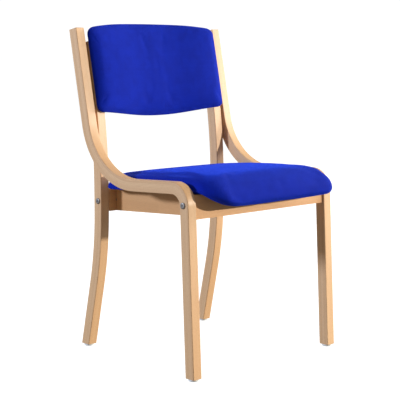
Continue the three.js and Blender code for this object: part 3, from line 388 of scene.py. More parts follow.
@dataclass(frozen=True)
class Beech:
    """Lacquered beech: laminated veneers on bent strips, plain sawn wood elsewhere."""

    light: tuple = colour(231, 190, 143)
    dark: tuple = colour(206, 155, 106)
    pore: tuple = colour(150, 104, 66)
    glue: tuple = colour(166, 124, 86)
    veneers: int = 9
    strip_thickness: float = 0.028
    strip_width: float = 0.026
    roughness: float = 0.50
    coat: float = 0.07
    coat_roughness: float = 0.32
    figure_scale: tuple[float, float, float] = (1.6, 42.0, 48.0)
    fibre_scale: tuple[float, float, float] = (28.0, 900.0, 900.0)
    ray_scale: tuple[float, float, float] = (210.0, 850.0, 850.0)
    ray_share: float = 0.42
    worn_edge: float = 0.0016
    worn_share: float = 0.35
    relief: float = 0.00012

    def place(self, w: Wiring, grain: Grain) -> NodeSocket:
        """The place on a piece as along the fibres, through the thickness, and across.

        Args:
            w: The material's wiring.
            grain: Which way the fibres run.

        Returns:
            A vector socket in metres.
        """
        if grain is Grain.BENT:
            return w.add("ShaderNodeAttribute", attribute_name="strip_place").outputs["Vector"]
        x, y, z = w.parts(w.object_place())
        order = {Grain.ACROSS: (x, y, z), Grain.ALONG: (y, x, z), Grain.UPRIGHT: (z, y, x)}[grain]
        return w.vector(*order)

    def material(self, name: str, grain: Grain) -> Material:
        """Makes the beech finish for pieces whose fibres run one way.

        Args:
            name: The material's name.
            grain: Which way the fibres run.

        Returns:
            The material.
        """
        material, w, surface = new_finish(name)
        place = self.place(w, grain)
        along, through, across = w.parts(place)
        strip = w.math("FLOOR", w.math("DIVIDE", along, STRIP_STRIDE))
        half = self.strip_thickness / 2
        if grain is Grain.BENT:
            inner = half * 0.985
            kept = w.math("MAXIMUM", w.math("MINIMUM", through, inner), -inner)
            level = w.math("MULTIPLY_ADD", kept, self.veneers / self.strip_thickness, self.veneers / 2)
            layer = w.math("FLOOR", level)
        else:
            level = w.times(through, 20.0)
            layer = w.times(level, 0.0)
        tone = w.scatter(w.vector(layer, strip, 3.7))
        drift = w.times(tone, 9.0)

        # Broad figure, fibres, and the small dark rays that mark beech
        def spread(scale: tuple[float, float, float]) -> NodeSocket:
            """The place, scaled each way and shifted so that no two layers match."""
            start = w.math("MULTIPLY_ADD", along, scale[0], drift)
            return w.vector(start, w.times(through, scale[1]), w.times(across, scale[2]))

        figure = w.noise(spread(self.figure_scale), 1.0, 4.0, 0.6)
        fibre = w.noise(spread(self.fibre_scale), 1.0, 3.0, 0.7)
        rays = w.cells(spread(self.ray_scale), 1.0)
        ray = w.ramp(rays, 0.14, 0.3, 1.0, 0.0)
        shade = w.plus(w.ramp(figure, 0.25, 0.75, 0.1, 0.5), w.times(tone, 0.2))
        body = w.blend(shade, self.light, self.dark)
        body = w.blend(w.ramp(fibre, 0.35, 0.8, 0.0, 0.28), body, self.dark)
        body = w.blend(w.times(ray, self.ray_share), body, self.pore)
        rough = w.plus(self.roughness, w.ramp(fibre, 0.3, 0.8, -0.05, 0.08))

        if grain is Grain.BENT:
            # Glue lines show on the strip's sides, and its long edges are worn
            inside = w.math("ABSOLUTE", w.math("SUBTRACT", w.math("FRACT", level), 0.5))
            wavy = w.noise(w.vector(w.times(along, 60.0), layer, strip), 1.0)
            line = w.times(w.ramp(inside, 0.40, 0.47), w.ramp(wavy, 0.3, 0.6, 0.3, 0.6))
            depth, reach = w.math("ABSOLUTE", through), w.math("ABSOLUTE", across)
            line = w.times(line, w.ramp(depth, half * 0.99, half * 0.95))
            body = w.blend(line, body, self.glue)
            side = self.strip_width / 2
            near_face = w.ramp(depth, half - self.worn_edge, half)
            near_side = w.ramp(reach, side - self.worn_edge, side)
            worn = w.times(w.times(near_face, near_side), w.ramp(w.noise(place, 60.0), 0.42, 0.62))
            body = w.blend(w.times(worn, self.worn_share), body, self.pore)
            rough = w.plus(rough, w.times(worn, 0.15))

        height = w.plus(w.times(fibre, 0.5), w.times(ray, -0.6))
        lacquer = {"IOR": 1.5, "Coat Weight": self.coat, "Coat Roughness": self.coat_roughness}
        w.finish(surface, {"Base Color": body, "Roughness": rough, **lacquer}, (0.35, self.relief, height))
        return material


@dataclass(frozen=True)
class WovenCloth:
    """Plain-woven upholstery cloth; its map holds metres of cloth."""

    name: str
    base: tuple
    deep: tuple
    nap: tuple = colour(24, 64, 200)
    pitch: float = 0.0009
    sheen: float = 0.75
    sheen_roughness: float = 0.45
    roughness: float = 0.92
    specular: float = 0.12
    relief: float = 0.00022

    def material(self) -> Material:
        """Makes the cloth's material."""
        material, w, surface = new_finish(self.name)
        u, v, _ = w.parts(w.add("ShaderNodeUVMap", uv_map="cloth").outputs["UV"])
        flat = w.vector(u, v, 0.0)
        wander = w.noise(flat, 260.0, 2.0)
        drift = w.times(w.math("SUBTRACT", wander, 0.5), 0.5)
        warp = w.plus(w.math("DIVIDE", u, self.pitch), w.plus(drift, 4000.0))
        weft = w.plus(w.math("DIVIDE", v, self.pitch), w.math("SUBTRACT", 4000.0, drift))
        warp_number, weft_number = w.math("FLOOR", warp), w.math("FLOOR", weft)
        over = w.math("MODULO", w.plus(warp_number, weft_number), 2.0)
        warp_round = w.math("SINE", w.times(w.math("FRACT", warp), math.pi))
        weft_round = w.math("SINE", w.times(w.math("FRACT", weft), math.pi))
        warp_height = w.times(warp_round, w.math("MULTIPLY_ADD", weft_round, 0.35, 0.65))
        weft_height = w.times(weft_round, w.math("MULTIPLY_ADD", warp_round, 0.35, 0.65))
        height = w.pick(over, warp_height, weft_height)
        warp_tone = w.scatter(w.vector(warp_number, 11.0, 0.0))
        weft_tone = w.scatter(w.vector(weft_number, 29.0, 0.0))
        yarn = w.pick(over, warp_tone, weft_tone)
        mottle = w.noise(flat, 34.0, 3.0, 0.6)
        fuzz = w.noise(flat, 2600.0, 2.0, 0.7)
        # The hollows between yarns are painted darker, as shade, from the weave's height; each yarn's own
        # tone, the mottling and the fuzz vary the rest.
        light = w.plus(w.ramp(height, 0.0, 0.9, 0.2, 0.78), w.times(yarn, 0.16))
        light = w.plus(light, w.ramp(mottle, 0.3, 0.7, -0.08, 0.08))
        light = w.plus(light, w.ramp(fuzz, 0.3, 0.8, -0.08, 0.1))
        nap = {"Sheen Weight": self.sheen, "Sheen Roughness": self.sheen_roughness, "Sheen Tint": self.nap}
        dull = {"Roughness": self.roughness, "Specular IOR Level": self.specular}
        body = w.blend(light, self.deep, self.base)
        relief = (0.55, self.relief, w.plus(height, w.times(fuzz, 0.35)))
        w.finish(surface, {"Base Color": body, **dull, **nap}, relief)
        return material


@dataclass(frozen=True)
class SewingThread:
    """Twisted blue thread."""

    base: tuple = colour(24, 40, 150)
    deep: tuple = colour(8, 14, 70)
    twists: float = 9000.0

    def material(self) -> Material:
        """Makes the thread's material."""
        material, w, surface = new_finish("blue_thread")
        x, y, z = w.parts(w.object_place())
        lay = w.math("SINE", w.times(w.plus(x, w.plus(y, z)), self.twists))
        # The twist's grooves are painted darker and its ridges lighter, as shade, from the same value as the
        # bump.
        body = w.blend(w.ramp(lay, -1.0, 1.0), self.deep, self.base)
        w.finish(surface, {"Base Color": body, "Roughness": 0.7}, (0.5, 0.0001, lay))
        return material


@dataclass(frozen=True)
class FeltedLining:
    """Thin black non-woven lining under the seat."""

    base: tuple = colour(34, 34, 36)
    thread: tuple = colour(66, 66, 68)
    strand_scale: tuple[float, float] = (900.0, 140.0)
    dimple_scale: float = 420.0

    def material(self) -> Material:
        """Makes the lining's material."""
        material, w, surface = new_finish("black_lining")
        place = w.object_place()
        x, y, z = w.parts(place)
        fine, coarse = self.strand_scale
        strands = w.noise(w.vector(w.times(x, fine), w.times(y, coarse), z), 1.0, 4.0, 0.7)
        others = w.noise(w.vector(w.times(x, coarse), w.times(y, fine), z), 1.0, 4.0, 0.7)
        felt = w.math("MAXIMUM", strands, others)
        pressed = w.ramp(w.cells(place, self.dimple_scale, 0.1), 0.12, 0.3)
        body = w.blend(w.ramp(felt, 0.55, 0.8, 0.0, 0.7), self.base, self.thread)
        height = w.plus(felt, w.times(pressed, 0.6))
        w.finish(surface, {"Base Color": body, "Roughness": 0.9}, (0.5, 0.0002, height))
        return material


@dataclass(frozen=True)
class ZincSteel:
    """Zinc-plated steel with fine turning marks and dull patches."""

    name: str = "zinc_steel"
    base: tuple = colour(158, 150, 142)
    dull: tuple = colour(118, 110, 103)
    roughness: float = 0.50
    patch_scale: float = 420.0
    mark_scale: float = 5200.0
    relief: float = 0.00003

    def material(self) -> Material:
        """Makes the metal's material."""
        material, w, surface = new_finish(self.name)
        place = w.object_place()
        cloud = w.noise(place, self.patch_scale, 3.0, 0.6)
        marks = w.noise(place, self.mark_scale, 2.0, 0.6)
        body = w.blend(w.ramp(cloud, 0.35, 0.75, 0.1, 0.8), self.base, self.dull)
        rough = w.plus(self.roughness, w.ramp(cloud, 0.3, 0.8, -0.04, 0.16))
        inputs = {"Base Color": body, "Roughness": rough, "Metallic": 1.0}
        w.finish(surface, inputs, (0.3, self.relief, marks))
        return material


@dataclass(frozen=True)
class BirchPlywood:
    """Birch plywood, its plies level."""

    face: tuple = colour(222, 192, 150)
    edge: tuple = colour(168, 128, 88)
    ply: float = 0.0028
    grain_scale: tuple[float, float] = (26.0, 700.0)

    def material(self) -> Material:
        """Makes the plywood's material."""
        material, w, surface = new_finish("birch_plywood")
        x, y, z = w.parts(w.object_place())
        level = w.math("DIVIDE", w.plus(z, w.times(y, math.tan(SEAT_TILT))), self.ply)
        turned_ply = w.math("MODULO", w.plus(w.math("FLOOR", level), 1000.0), 2.0)
        slow, fast = self.grain_scale
        lengthways = w.noise(w.vector(w.times(x, slow), w.times(y, fast), level), 1.0, 3.0, 0.6)
        crossways = w.noise(w.vector(w.times(x, fast), w.times(y, slow), level), 1.0, 3.0, 0.6)
        grain = w.pick(turned_ply, lengthways, crossways)
        shade = w.plus(w.ramp(grain, 0.3, 0.75, 0.0, 0.5), w.times(turned_ply, 0.35))
        body = w.blend(shade, self.face, self.edge)
        w.finish(surface, {"Base Color": body, "Roughness": 0.68}, (0.4, 0.00015, grain))
        return material


@dataclass(frozen=True)
class MouldedPlastic:
    """White moulded plastic, scuffed towards the floor."""

    base: tuple = colour(236, 234, 228)
    scuffed: tuple = colour(168, 160, 148)
    scuff_height: float = 0.0035

    def material(self) -> Material:
        """Makes the plastic's material."""
        material, w, surface = new_finish("white_plastic")
        place = w.object_place()
        scuffs = w.ramp(w.noise(place, 900.0, 4.0, 0.7), 0.45, 0.7)
        low = w.ramp(w.parts(place)[2], 0.0, self.scuff_height, 0.75, 0.1)
        body = w.blend(w.times(scuffs, low), self.base, self.scuffed)
        rough = w.plus(0.42, w.times(scuffs, 0.25))
        w.finish(surface, {"Base Color": body, "Roughness": rough}, (0.25, 0.0001, scuffs))
        return material


@dataclass(frozen=True)
class CutFoam:
    """Open-celled foam, for the pads' hidden filling."""

    base: tuple = colour(232, 224, 190)
    cell: tuple = colour(196, 184, 146)
    cell_scale: float = 700.0

    def material(self) -> Material:
        """Makes the foam's material."""
        material, w, surface = new_finish("cut_foam")
        cells = w.cells(w.object_place(), self.cell_scale)
        body = w.blend(w.ramp(cells, 0.1, 0.5, 0.8, 0.0), self.base, self.cell)
        w.finish(surface, {"Base Color": body, "Roughness": 1.0}, (0.6, 0.0005, cells))
        return material


@dataclass
class Finishes:
    """Every material of the chair, made once."""

    strip: Material = field(init=False)
    cross_rail: Material = field(init=False)
    side_rail: Material = field(init=False)
    packer: Material = field(init=False)
    plywood: Material = field(init=False)
    cloth: Material = field(init=False)
    lining: Material = field(init=False)
    foam: Material = field(init=False)
    steel: Material = field(init=False)
    brass: Material = field(init=False)
    plastic: Material = field(init=False)
    thread: Material = field(init=False)

    def __post_init__(self) -> None:
        """Makes the materials."""
        beech = Beech()
        # The rails and packers take a darker, warmer copy of the beech: partly the plainer sawn wood, partly
        # painted shade and warm bounce light under the seat.
        sawn = Beech(light=colour(226, 170, 111), dark=colour(197, 138, 82), roughness=0.54, coat=0.05)
        self.strip = beech.material("bent_beech", Grain.BENT)
        self.cross_rail = sawn.material("beech_cross_rail", Grain.ACROSS)
        self.side_rail = sawn.material("beech_side_rail", Grain.ALONG)
        self.packer = sawn.material("beech_packer", Grain.UPRIGHT)
        self.plywood = BirchPlywood().material()
        self.cloth = WovenCloth("royal_blue_cloth", colour(4, 37, 177), colour(3, 9, 90)).material()
        self.thread = SewingThread().material()
        self.lining = FeltedLining().material()
        self.foam = CutFoam().material()
        self.steel = ZincSteel().material()
        self.brass = ZincSteel("plain_brass", colour(196, 166, 96), colour(142, 112, 58)).material()
        self.plastic = MouldedPlastic().material()


# Geometry-node trees


def socket_names(tree: NodeTree) -> dict[str, str]:
    """The identifier of each named input of a tree."""
    return {item.name: item.identifier for item in tree.interface.items_tree if item.in_out == "INPUT"}


def start_tree(name: str, inputs: Sequence[tuple[str, str]]) -> tuple[Wiring, Node, Node]:
    """Starts a geometry-node tree.

    Args:
        name: The tree's name.
        inputs: Name and kind of each input after the geometry.

    Returns:
        Its wiring, its input node and its output node.
    """
    tree = bpy.data.node_groups.new(name, "GeometryNodeTree")
    tree.interface.new_socket("Geometry", in_out="INPUT", socket_type="NodeSocketGeometry")
    for label, kind in inputs:
        tree.interface.new_socket(label, in_out="INPUT", socket_type=f"NodeSocket{kind}")
    tree.interface.new_socket("Geometry", in_out="OUTPUT", socket_type="NodeSocketGeometry")
    wiring = Wiring(tree)
    return wiring, wiring.add("NodeGroupInput"), wiring.add("NodeGroupOutput")


def run_tree(piece: Object, tree: NodeTree, values: dict[str, object]) -> Object:
    """Runs a geometry-node tree on a piece and keeps its result as a plain mesh.

    Args:
        piece: The object that holds the tree's starting points or line.
        tree: The tree.
        values: A value for each named input.

    Returns:
        The same object.
    """
    modifier = piece.modifiers.new(tree.name, "NODES")
    modifier.node_group = tree
    names = socket_names(tree)
    for label, value in values.items():
        modifier[names[label]] = value
    return settle_modifiers(piece)


def store(w: Wiring, geometry: object, name: str, kind: str, value: object) -> NodeSocket:
    """Keeps a value on each point under a name."""
    node = w.add("GeometryNodeStoreNamedAttribute", data_type=kind, domain="POINT")
    w.feed(node.inputs["Geometry"], geometry)
    w.feed(node.inputs["Name"], name)
    w.feed(node.inputs["Value"], value)
    return node.outputs[0]


def stored(w: Wiring, name: str, kind: str) -> NodeSocket:
    """Reads a value kept on each point under a name."""
    return w.add("GeometryNodeInputNamedAttribute", {"Name": name}, data_type=kind).outputs["Attribute"]


def finish_tree(w: Wiring, geometry: object, material: object, output: Node) -> None:
    """Ends a tree: real geometry with its material on."""
    real = w.add("GeometryNodeRealizeInstances", {0: geometry}).outputs[0]
    finished = w.add("GeometryNodeSetMaterial", {"Geometry": real, "Material": material}).outputs[0]
    w.feed(output.inputs[0], finished)


def facing_turn(w: Wiring) -> NodeSocket:
    """The rotation that turns z to the facing kept on each point."""
    facing = stored(w, "facing", "FLOAT_VECTOR")
    return w.add("FunctionNodeAlignRotationToVector", {"Vector": facing}, axis="Z").outputs[0]


def set_copies(
    w: Wiring, given: Node, output: Node, points: object, turn: object, low: object, high: object
) -> None:
    """Ends a tree that sets copies of its shape at points, each twisted about its own z axis.

    Args:
        w: The tree's wiring.
        given: Its input node, with the inputs Shape, Seed and Finish.
        output: Its output node.
        points: Where the copies stand.
        turn: How each is turned before the twist.
        low: The least twist.
        high: The most twist.
    """
    g = given.outputs
    shape = w.add("GeometryNodeObjectInfo", {"Object": g["Shape"]}).outputs["Geometry"]
    limits = {2: low, 3: high, "Seed": g["Seed"]}
    angle = w.add("FunctionNodeRandomValue", limits, data_type="FLOAT").outputs[1]
    twist = w.add("FunctionNodeAxisAngleToRotation", {"Axis": (0.0, 0.0, 1.0), "Angle": angle}).outputs[0]
    turned_on = w.add("FunctionNodeRotateRotation", {0: turn, 1: twist}, rotation_space="LOCAL").outputs[0]
    inputs = {"Points": points, "Instance": shape, "Rotation": turned_on}
    finish_tree(w, w.add("GeometryNodeInstanceOnPoints", inputs).outputs[0], g["Finish"], output)


def strip_tree() -> NodeTree:
    """The tree that sweeps a bentwood strip's section along its line and saws its foot level.

    Returns:
        The tree. It keeps each point's place in the strip as strip_place.
    """
    w, given, output = start_tree(
        "bentwood_strip",
        [
            ("Width", "Float"),
            ("Thickness", "Float"),
            ("Edge Radius", "Float"),
            ("Edge Steps", "Int"),
            ("Foot Height", "Float"),
            ("Strip Number", "Float"),
            ("Finish", "Material"),
        ],
    )
    g = given.outputs
    line = w.add("GeometryNodeMeshToCurve", {"Mesh": g["Geometry"]}).outputs[0]
    flat = {"Curve": line, "Normal": (1.0, 0.0, 0.0)}
    line = w.add("GeometryNodeSetCurveNormal", flat, mode="FREE").outputs[0]
    line = store(w, line, "along", "FLOAT", w.add("GeometryNodeSplineParameter").outputs["Length"])
    line = store(w, line, "heading", "FLOAT_VECTOR", w.add("GeometryNodeInputTangent").outputs[0])
    size = {"Width": g["Width"], "Height": g["Thickness"]}
    section = w.add("GeometryNodeCurvePrimitiveQuadrilateral", size)
    rounded = w.add(
        "GeometryNodeFilletCurve",
        {"Curve": section.outputs[0], "Count": g["Edge Steps"], "Radius": g["Edge Radius"]},
        mode="POLY",
    ).outputs[0]
    profile = store(w, rounded, "section", "FLOAT_VECTOR", w.add("GeometryNodeInputPosition").outputs[0])
    swept = w.add(
        "GeometryNodeCurveToMesh", {"Curve": line, "Profile Curve": profile, "Fill Caps": True}
    ).outputs[0]

    # The foot's end ring slides along the strip onto one level
    along = stored(w, "along", "FLOAT")
    heading = stored(w, "heading", "FLOAT_VECTOR")
    start = {0: along, 1: 0.0001}
    at_foot = w.add("FunctionNodeCompare", start, data_type="FLOAT", operation="LESS_THAN").outputs[0]
    height = w.parts(w.add("GeometryNodeInputPosition").outputs[0])[2]
    reach = w.math("DIVIDE", w.math("SUBTRACT", g["Foot Height"], height), w.parts(heading)[2])
    slide = w.add("ShaderNodeVectorMath", {0: heading, "Scale": reach}, operation="SCALE").outputs[0]
    move = {"Geometry": swept, "Selection": at_foot, "Offset": slide}
    sawn = w.add("GeometryNodeSetPosition", move).outputs[0]

    across, through, _ = w.parts(stored(w, "section", "FLOAT_VECTOR"))
    far_along = w.math("MULTIPLY_ADD", g["Strip Number"], STRIP_STRIDE, along)
    marked = store(w, sawn, "strip_place", "FLOAT_VECTOR", w.vector(far_along, through, across))
    finish_tree(w, marked, g["Finish"], output)
    return w.tree


def fastener_tree() -> NodeTree:
    """The tree that sets a fastener at each point, facing the point's own way and turned by a fixed seed.

    Returns:
        The tree.
    """
    inputs = [("Shape", "Object"), ("Seed", "Int"), ("Finish", "Material")]
    w, given, output = start_tree("fastener_set", inputs)
    set_copies(w, given, output, given.outputs["Geometry"], facing_turn(w), 0.0, 2.0 * math.pi)
    return w.tree


def fixing_tree() -> NodeTree:
    """The tree that sets fixings along a closed line, a little unevenly, each facing the line's own way.

    Returns:
        The tree.
    """
    inputs = [("Shape", "Object"), ("Seed", "Int"), ("Finish", "Material")]
    w, given, output = start_tree("fixing_run", [*inputs, ("Spacing", "Float"), ("Unevenness", "Float")])
    g = given.outputs
    line = w.add("GeometryNodeMeshToCurve", {"Mesh": g["Geometry"]}).outputs[0]
    pace = {"Curve": line, "Length": g["Spacing"]}
    spots = w.add("GeometryNodeResampleCurve", pace, mode="LENGTH").outputs[0]
    tangent = {"Rotation": facing_turn(w), "Vector": w.add("GeometryNodeInputTangent").outputs[0]}
    lengthways = w.add("FunctionNodeAlignRotationToVector", tangent, axis="X", pivot_axis="Z").outputs[0]
    set_copies(w, given, output, spots, lengthways, w.times(g["Unevenness"], -1.0), g["Unevenness"])
    return w.tree


# Bentwood frame


@dataclass
class StripLine:
    """The centre line of a bentwood strip in the side view, straight runs joined by arcs."""

    corners: list[Vector]
    radii: list[float]
    step: float = math.radians(2.5)

    def points(self) -> list[Vector]:
        """Points along the line, as y and z."""
        line = [self.corners[0]]
        spots = self.corners
        for before, corner, after, radius in zip(spots, spots[1:], spots[2:], self.radii):
            inward, outward = (corner - before).normalized(), (after - corner).normalized()
            turn = math.copysign(1.0, inward.x * outward.y - inward.y * outward.x)
            angle = math.acos(max(-1.0, min(1.0, inward.dot(outward))))
            start = corner - inward * (radius * math.tan(angle / 2))
            normal = Vector((-inward.y, inward.x)) * turn
            centre = start + normal * radius
            steps = max(8, round(angle / self.step))
            spoke = -normal
            for k in range(steps + 1):
                swing = turn * angle * k / steps
                cos, sin = math.cos(swing), math.sin(swing)
                turned_spoke = Vector((spoke.x * cos - spoke.y * sin, spoke.x * sin + spoke.y * cos))
                line.append(centre + turned_spoke * radius)
        return [*line, self.corners[-1]]


def meet(a: Vector, along_a: Vector, b: Vector, along_b: Vector) -> Vector:
    """Where two lines in the side view cross, each given by a point and a direction."""
    cross = along_a.x * along_b.y - along_a.y * along_b.x
    gap = b - a
    return a + along_a * ((gap.x * along_b.y - gap.y * along_b.x) / cross)


@dataclass
class BentwoodFrame:
    """Two front frames and two rear legs, each one laminated strip."""

    width: float = 0.493
    strip_width: float = 0.026
    strip_thickness: float = 0.028
    edge_radius: float = 0.0021
    edge_steps: int = 5
    end_bevel: float = 0.0011
    end_angle: float = math.radians(60)
    sharp_angle: float = math.radians(50)
    side_gap: float = 0.006
    foot_height: float = 0.005
    front_foot_y: float = -0.225
    front_splay: float = math.radians(2.65)
    run_height: float = 0.4456
    run_drop: float = math.radians(2.5)
    knee_radius: float = 0.041
    bend_radius: float = 0.170
    rear_foot_y: float = 0.212
    rear_splay: float = math.radians(12.4)
    rear_shank_y: float = 0.157
    rear_shin_radius: float = 0.850
    rear_back_radius: float = 1.350
    rear_top_below: float = 0.034

    def upright_middle(self) -> Vector:
        """The middle of an upright's sawn end, as y and z before the box is centred."""
        corner = Vector((UPRIGHT_TOP.y - BOX_SHIFT_Y, UPRIGHT_TOP.z))
        return corner + Vector((math.cos(UPRIGHT_LEAN), -math.sin(UPRIGHT_LEAN))) * (self.strip_thickness / 2)

    def front_line(self) -> StripLine:
        """Front leg, knee, side run, back bend and upright."""
        half = self.strip_thickness / 2
        leg_up = Vector((math.sin(self.front_splay), math.cos(self.front_splay)))
        run_back = Vector((math.cos(self.run_drop), -math.sin(self.run_drop)))
        upright_up = Vector((math.sin(UPRIGHT_LEAN), math.cos(UPRIGHT_LEAN)))
        foot = Vector((self.front_foot_y + half / math.cos(self.front_splay), self.foot_height))
        run = Vector((0.0, self.run_height - half / math.cos(self.run_drop)))
        top = self.upright_middle()
        knee = meet(foot, leg_up, run, run_back)
        bend = meet(run, run_back, top, upright_up)
        return StripLine([foot, knee, bend, top], [self.knee_radius, self.bend_radius])

    def rear_line(self) -> StripLine:
        """Rear leg, from its splayed foot up behind the back."""
        shin_up = Vector((-math.sin(self.rear_splay), math.cos(self.rear_splay)))
        shank_up = Vector((0.0, 1.0))
        upright_up = Vector((math.sin(UPRIGHT_LEAN), math.cos(UPRIGHT_LEAN)))
        foot = Vector((self.rear_foot_y, self.foot_height))
        shank = Vector((self.rear_shank_y, self.foot_height))
        top = self.upright_middle() - upright_up * self.rear_top_below
        shin = meet(foot, shin_up, shank, shank_up)
        shoulder = meet(shank, shank_up, top, upright_up)
        return StripLine([foot, shin, shoulder, top], [self.rear_shin_radius, self.rear_back_radius])

    def strip(
        self, name: str, line: StripLine, x: float, number: int, tree: NodeTree, finish: Material
    ) -> Object:
        """Makes one strip.

        Args:
            name: The piece's name.
            line: Its centre line.
            x: Its place across the chair.
            number: A number of its own, so that no two strips share a grain.
            tree: The strip tree.
            finish: Its material.

        Returns:
            The piece.
        """
        points = [(x, p.x + BOX_SHIFT_Y, p.y) for p in line.points()]
        edges = [(k, k + 1) for k in range(len(points) - 1)]
        piece = mesh_object(name, points, edges)
        values = {
            "Width": self.strip_width,
            "Thickness": self.strip_thickness,
            "Edge Radius": self.edge_radius,
            "Edge Steps": self.edge_steps,
            "Foot Height": self.foot_height,
            "Strip Number": float(number),
            "Finish": finish,
        }
        run_tree(piece, tree, values)
        bevel = piece.modifiers.new("sawn_ends", "BEVEL")
        bevel.width = self.end_bevel
        bevel.segments = 2
        bevel.limit_method = "ANGLE"
        bevel.angle_limit = self.end_angle
        settle_modifiers(piece)
        weigh_normals(piece, self.sharp_angle)
        return piece

    def build(self, finishes: Finishes) -> list[Object]:
        """Makes the four strips and has them stand for their solids.

        Args:
            finishes: The chair's materials.

        Returns:
            The pieces.
        """
        tree = strip_tree()
        front_x = self.width / 2 - self.strip_width / 2
        rear_x = front_x - self.strip_width - self.side_gap
        kinds = [("front_frame", self.front_line(), front_x), ("rear_leg", self.rear_line(), rear_x)]
        pieces = []
        for number, side in enumerate(Side):
            for kind, line, x in kinds:
                node = f"{kind}_{side.label}"
                order = 2 * number + (kind == "rear_leg") + 1
                piece = self.strip(f"{node}_strip", line, side.value * x, order, tree, finishes.strip)
                pieces.append(adopt(piece, "bentwood_beech", node))
        return pieces


def adopt(piece: Object, slot: str, *nodes: str) -> Object:
    """Lets a piece ride on the chair and stand for its solids.

    Args:
        piece: The piece.
        slot: The record's material slot; not used.
        *nodes: The solids that it stands for.

    Returns:
        The piece.
    """
    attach(piece, BODY)
    if nodes:
        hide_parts(*nodes)
    log.info("%s: %d faces, for %s", piece.name, len(piece.data.polygons), ", ".join(nodes) or "no solid")
    return piece


# Upholstery

LAST_COVER_FRAME = 20
COVER_SETTINGS = {
    "quality": 6,
    "mass": 0.35,
    "tension_stiffness": 35,
    "compression_stiffness": 35,
    "shear_stiffness": 12,
    "bending_stiffness": 2.0,
    "use_pressure": True,
    "uniform_pressure_force": 4.0,
    "vertex_group_mass": "held",
    "pin_stiffness": 30,
}


@dataclass
class LoopPlan:
    """Where the points of a rounded rectangle lie, the same on every ring of a pad."""

    per_side: int
    width: float
    depth: float
    radius: float

    def marks(self) -> list[tuple[int, str, float]]:
        """Side number, part of the side and place in that part for each point, from a corner's middle."""
        marks: list[tuple[int, str, float]] = []
        for side in range(4):
            straight = (self.width if side % 2 == 0 else self.depth) - 2 * self.radius
            arc = self.radius * math.pi / 4
            total = straight + 2 * arc
            for k in range(self.per_side):
                reach = total * k / self.per_side
                if reach < arc:
                    marks.append((side, "leaving", reach / arc))
                elif reach < arc + straight:
                    marks.append((side, "straight", (reach - arc) / straight))
                else:
                    marks.append((side, "coming", (reach - arc - straight) / arc))
        return marks

    def loop(self, half_width: float, low: float, high: float, radius: float | Sequence[float]) -> np.ndarray:
        """Points of one ring in its plane, counter-clockwise from the low corner at -x.

        Args:
            half_width: Half the ring's width.
            low: Its lower side.
            high: Its upper side.
            radius: The corners' radius, or one for each corner in the same order.

        Returns:
            One row per point.
        """
        radii = [radius] * 4 if isinstance(radius, float) else radius
        centres = [
            (-half_width + radii[0], low + radii[0]),
            (half_width - radii[1], low + radii[1]),
            (half_width - radii[2], high - radii[2]),
            (-half_width + radii[3], high - radii[3]),
        ]
        starts = [math.radians(a) for a in (225, 315, 45, 135)]
        points = []
        for side, part, share in self.marks():
            after = (side + 1) % 4
            (here_x, here_y), (there_x, there_y) = centres[side], centres[after]
            square = starts[side] + math.pi / 4
            if part == "leaving":
                angle, size, x, y = starts[side] + share * math.pi / 4, radii[side], here_x, here_y
            elif part == "straight":
                angle, size = square, radii[side] + (radii[after] - radii[side]) * share
                x, y = here_x + (there_x - here_x) * share, here_y + (there_y - here_y) * share
            else:
                angle, size, x, y = square + share * math.pi / 4, radii[after], there_x, there_y
            points.append((x + size * math.cos(angle), y + size * math.sin(angle)))
        return np.array(points)


def filled(loop: np.ndarray, per_side: int) -> np.ndarray:
    """Spreads a loop's points over the area inside it.

    Args:
        loop: The points of the loop, per_side to each of its four sides.
        per_side: Segments of a side.

    Returns:
        A square grid of points whose border is the loop.
    """
    n = per_side
    low = loop[0 : n + 1]
    right = loop[n : 2 * n + 1]
    top = loop[2 * n : 3 * n + 1][::-1]
    left = np.vstack([loop[3 * n :], loop[:1]])[::-1]
    u = np.linspace(0, 1, n + 1)[:, None, None]
    v = np.linspace(0, 1, n + 1)[None, :, None]
    sides = (1 - v) * low[:, None] + v * top[:, None] + (1 - u) * left[None, :] + u * right[None, :]
    corners = (1 - u) * (1 - v) * low[0] + u * (1 - v) * low[-1] + (1 - u) * v * top[0] + u * v * top[-1]
    return sides - corners


def border(per_side: int) -> list[tuple[int, int]]:
    """Grid places of a filled loop's border, in the loop's order."""
    n = per_side
    return (
        [(k, 0) for k in range(n)]
        + [(n, k) for k in range(n)]
        + [(n - k, n) for k in range(n)]
        + [(0, n - k) for k in range(n)]
    )


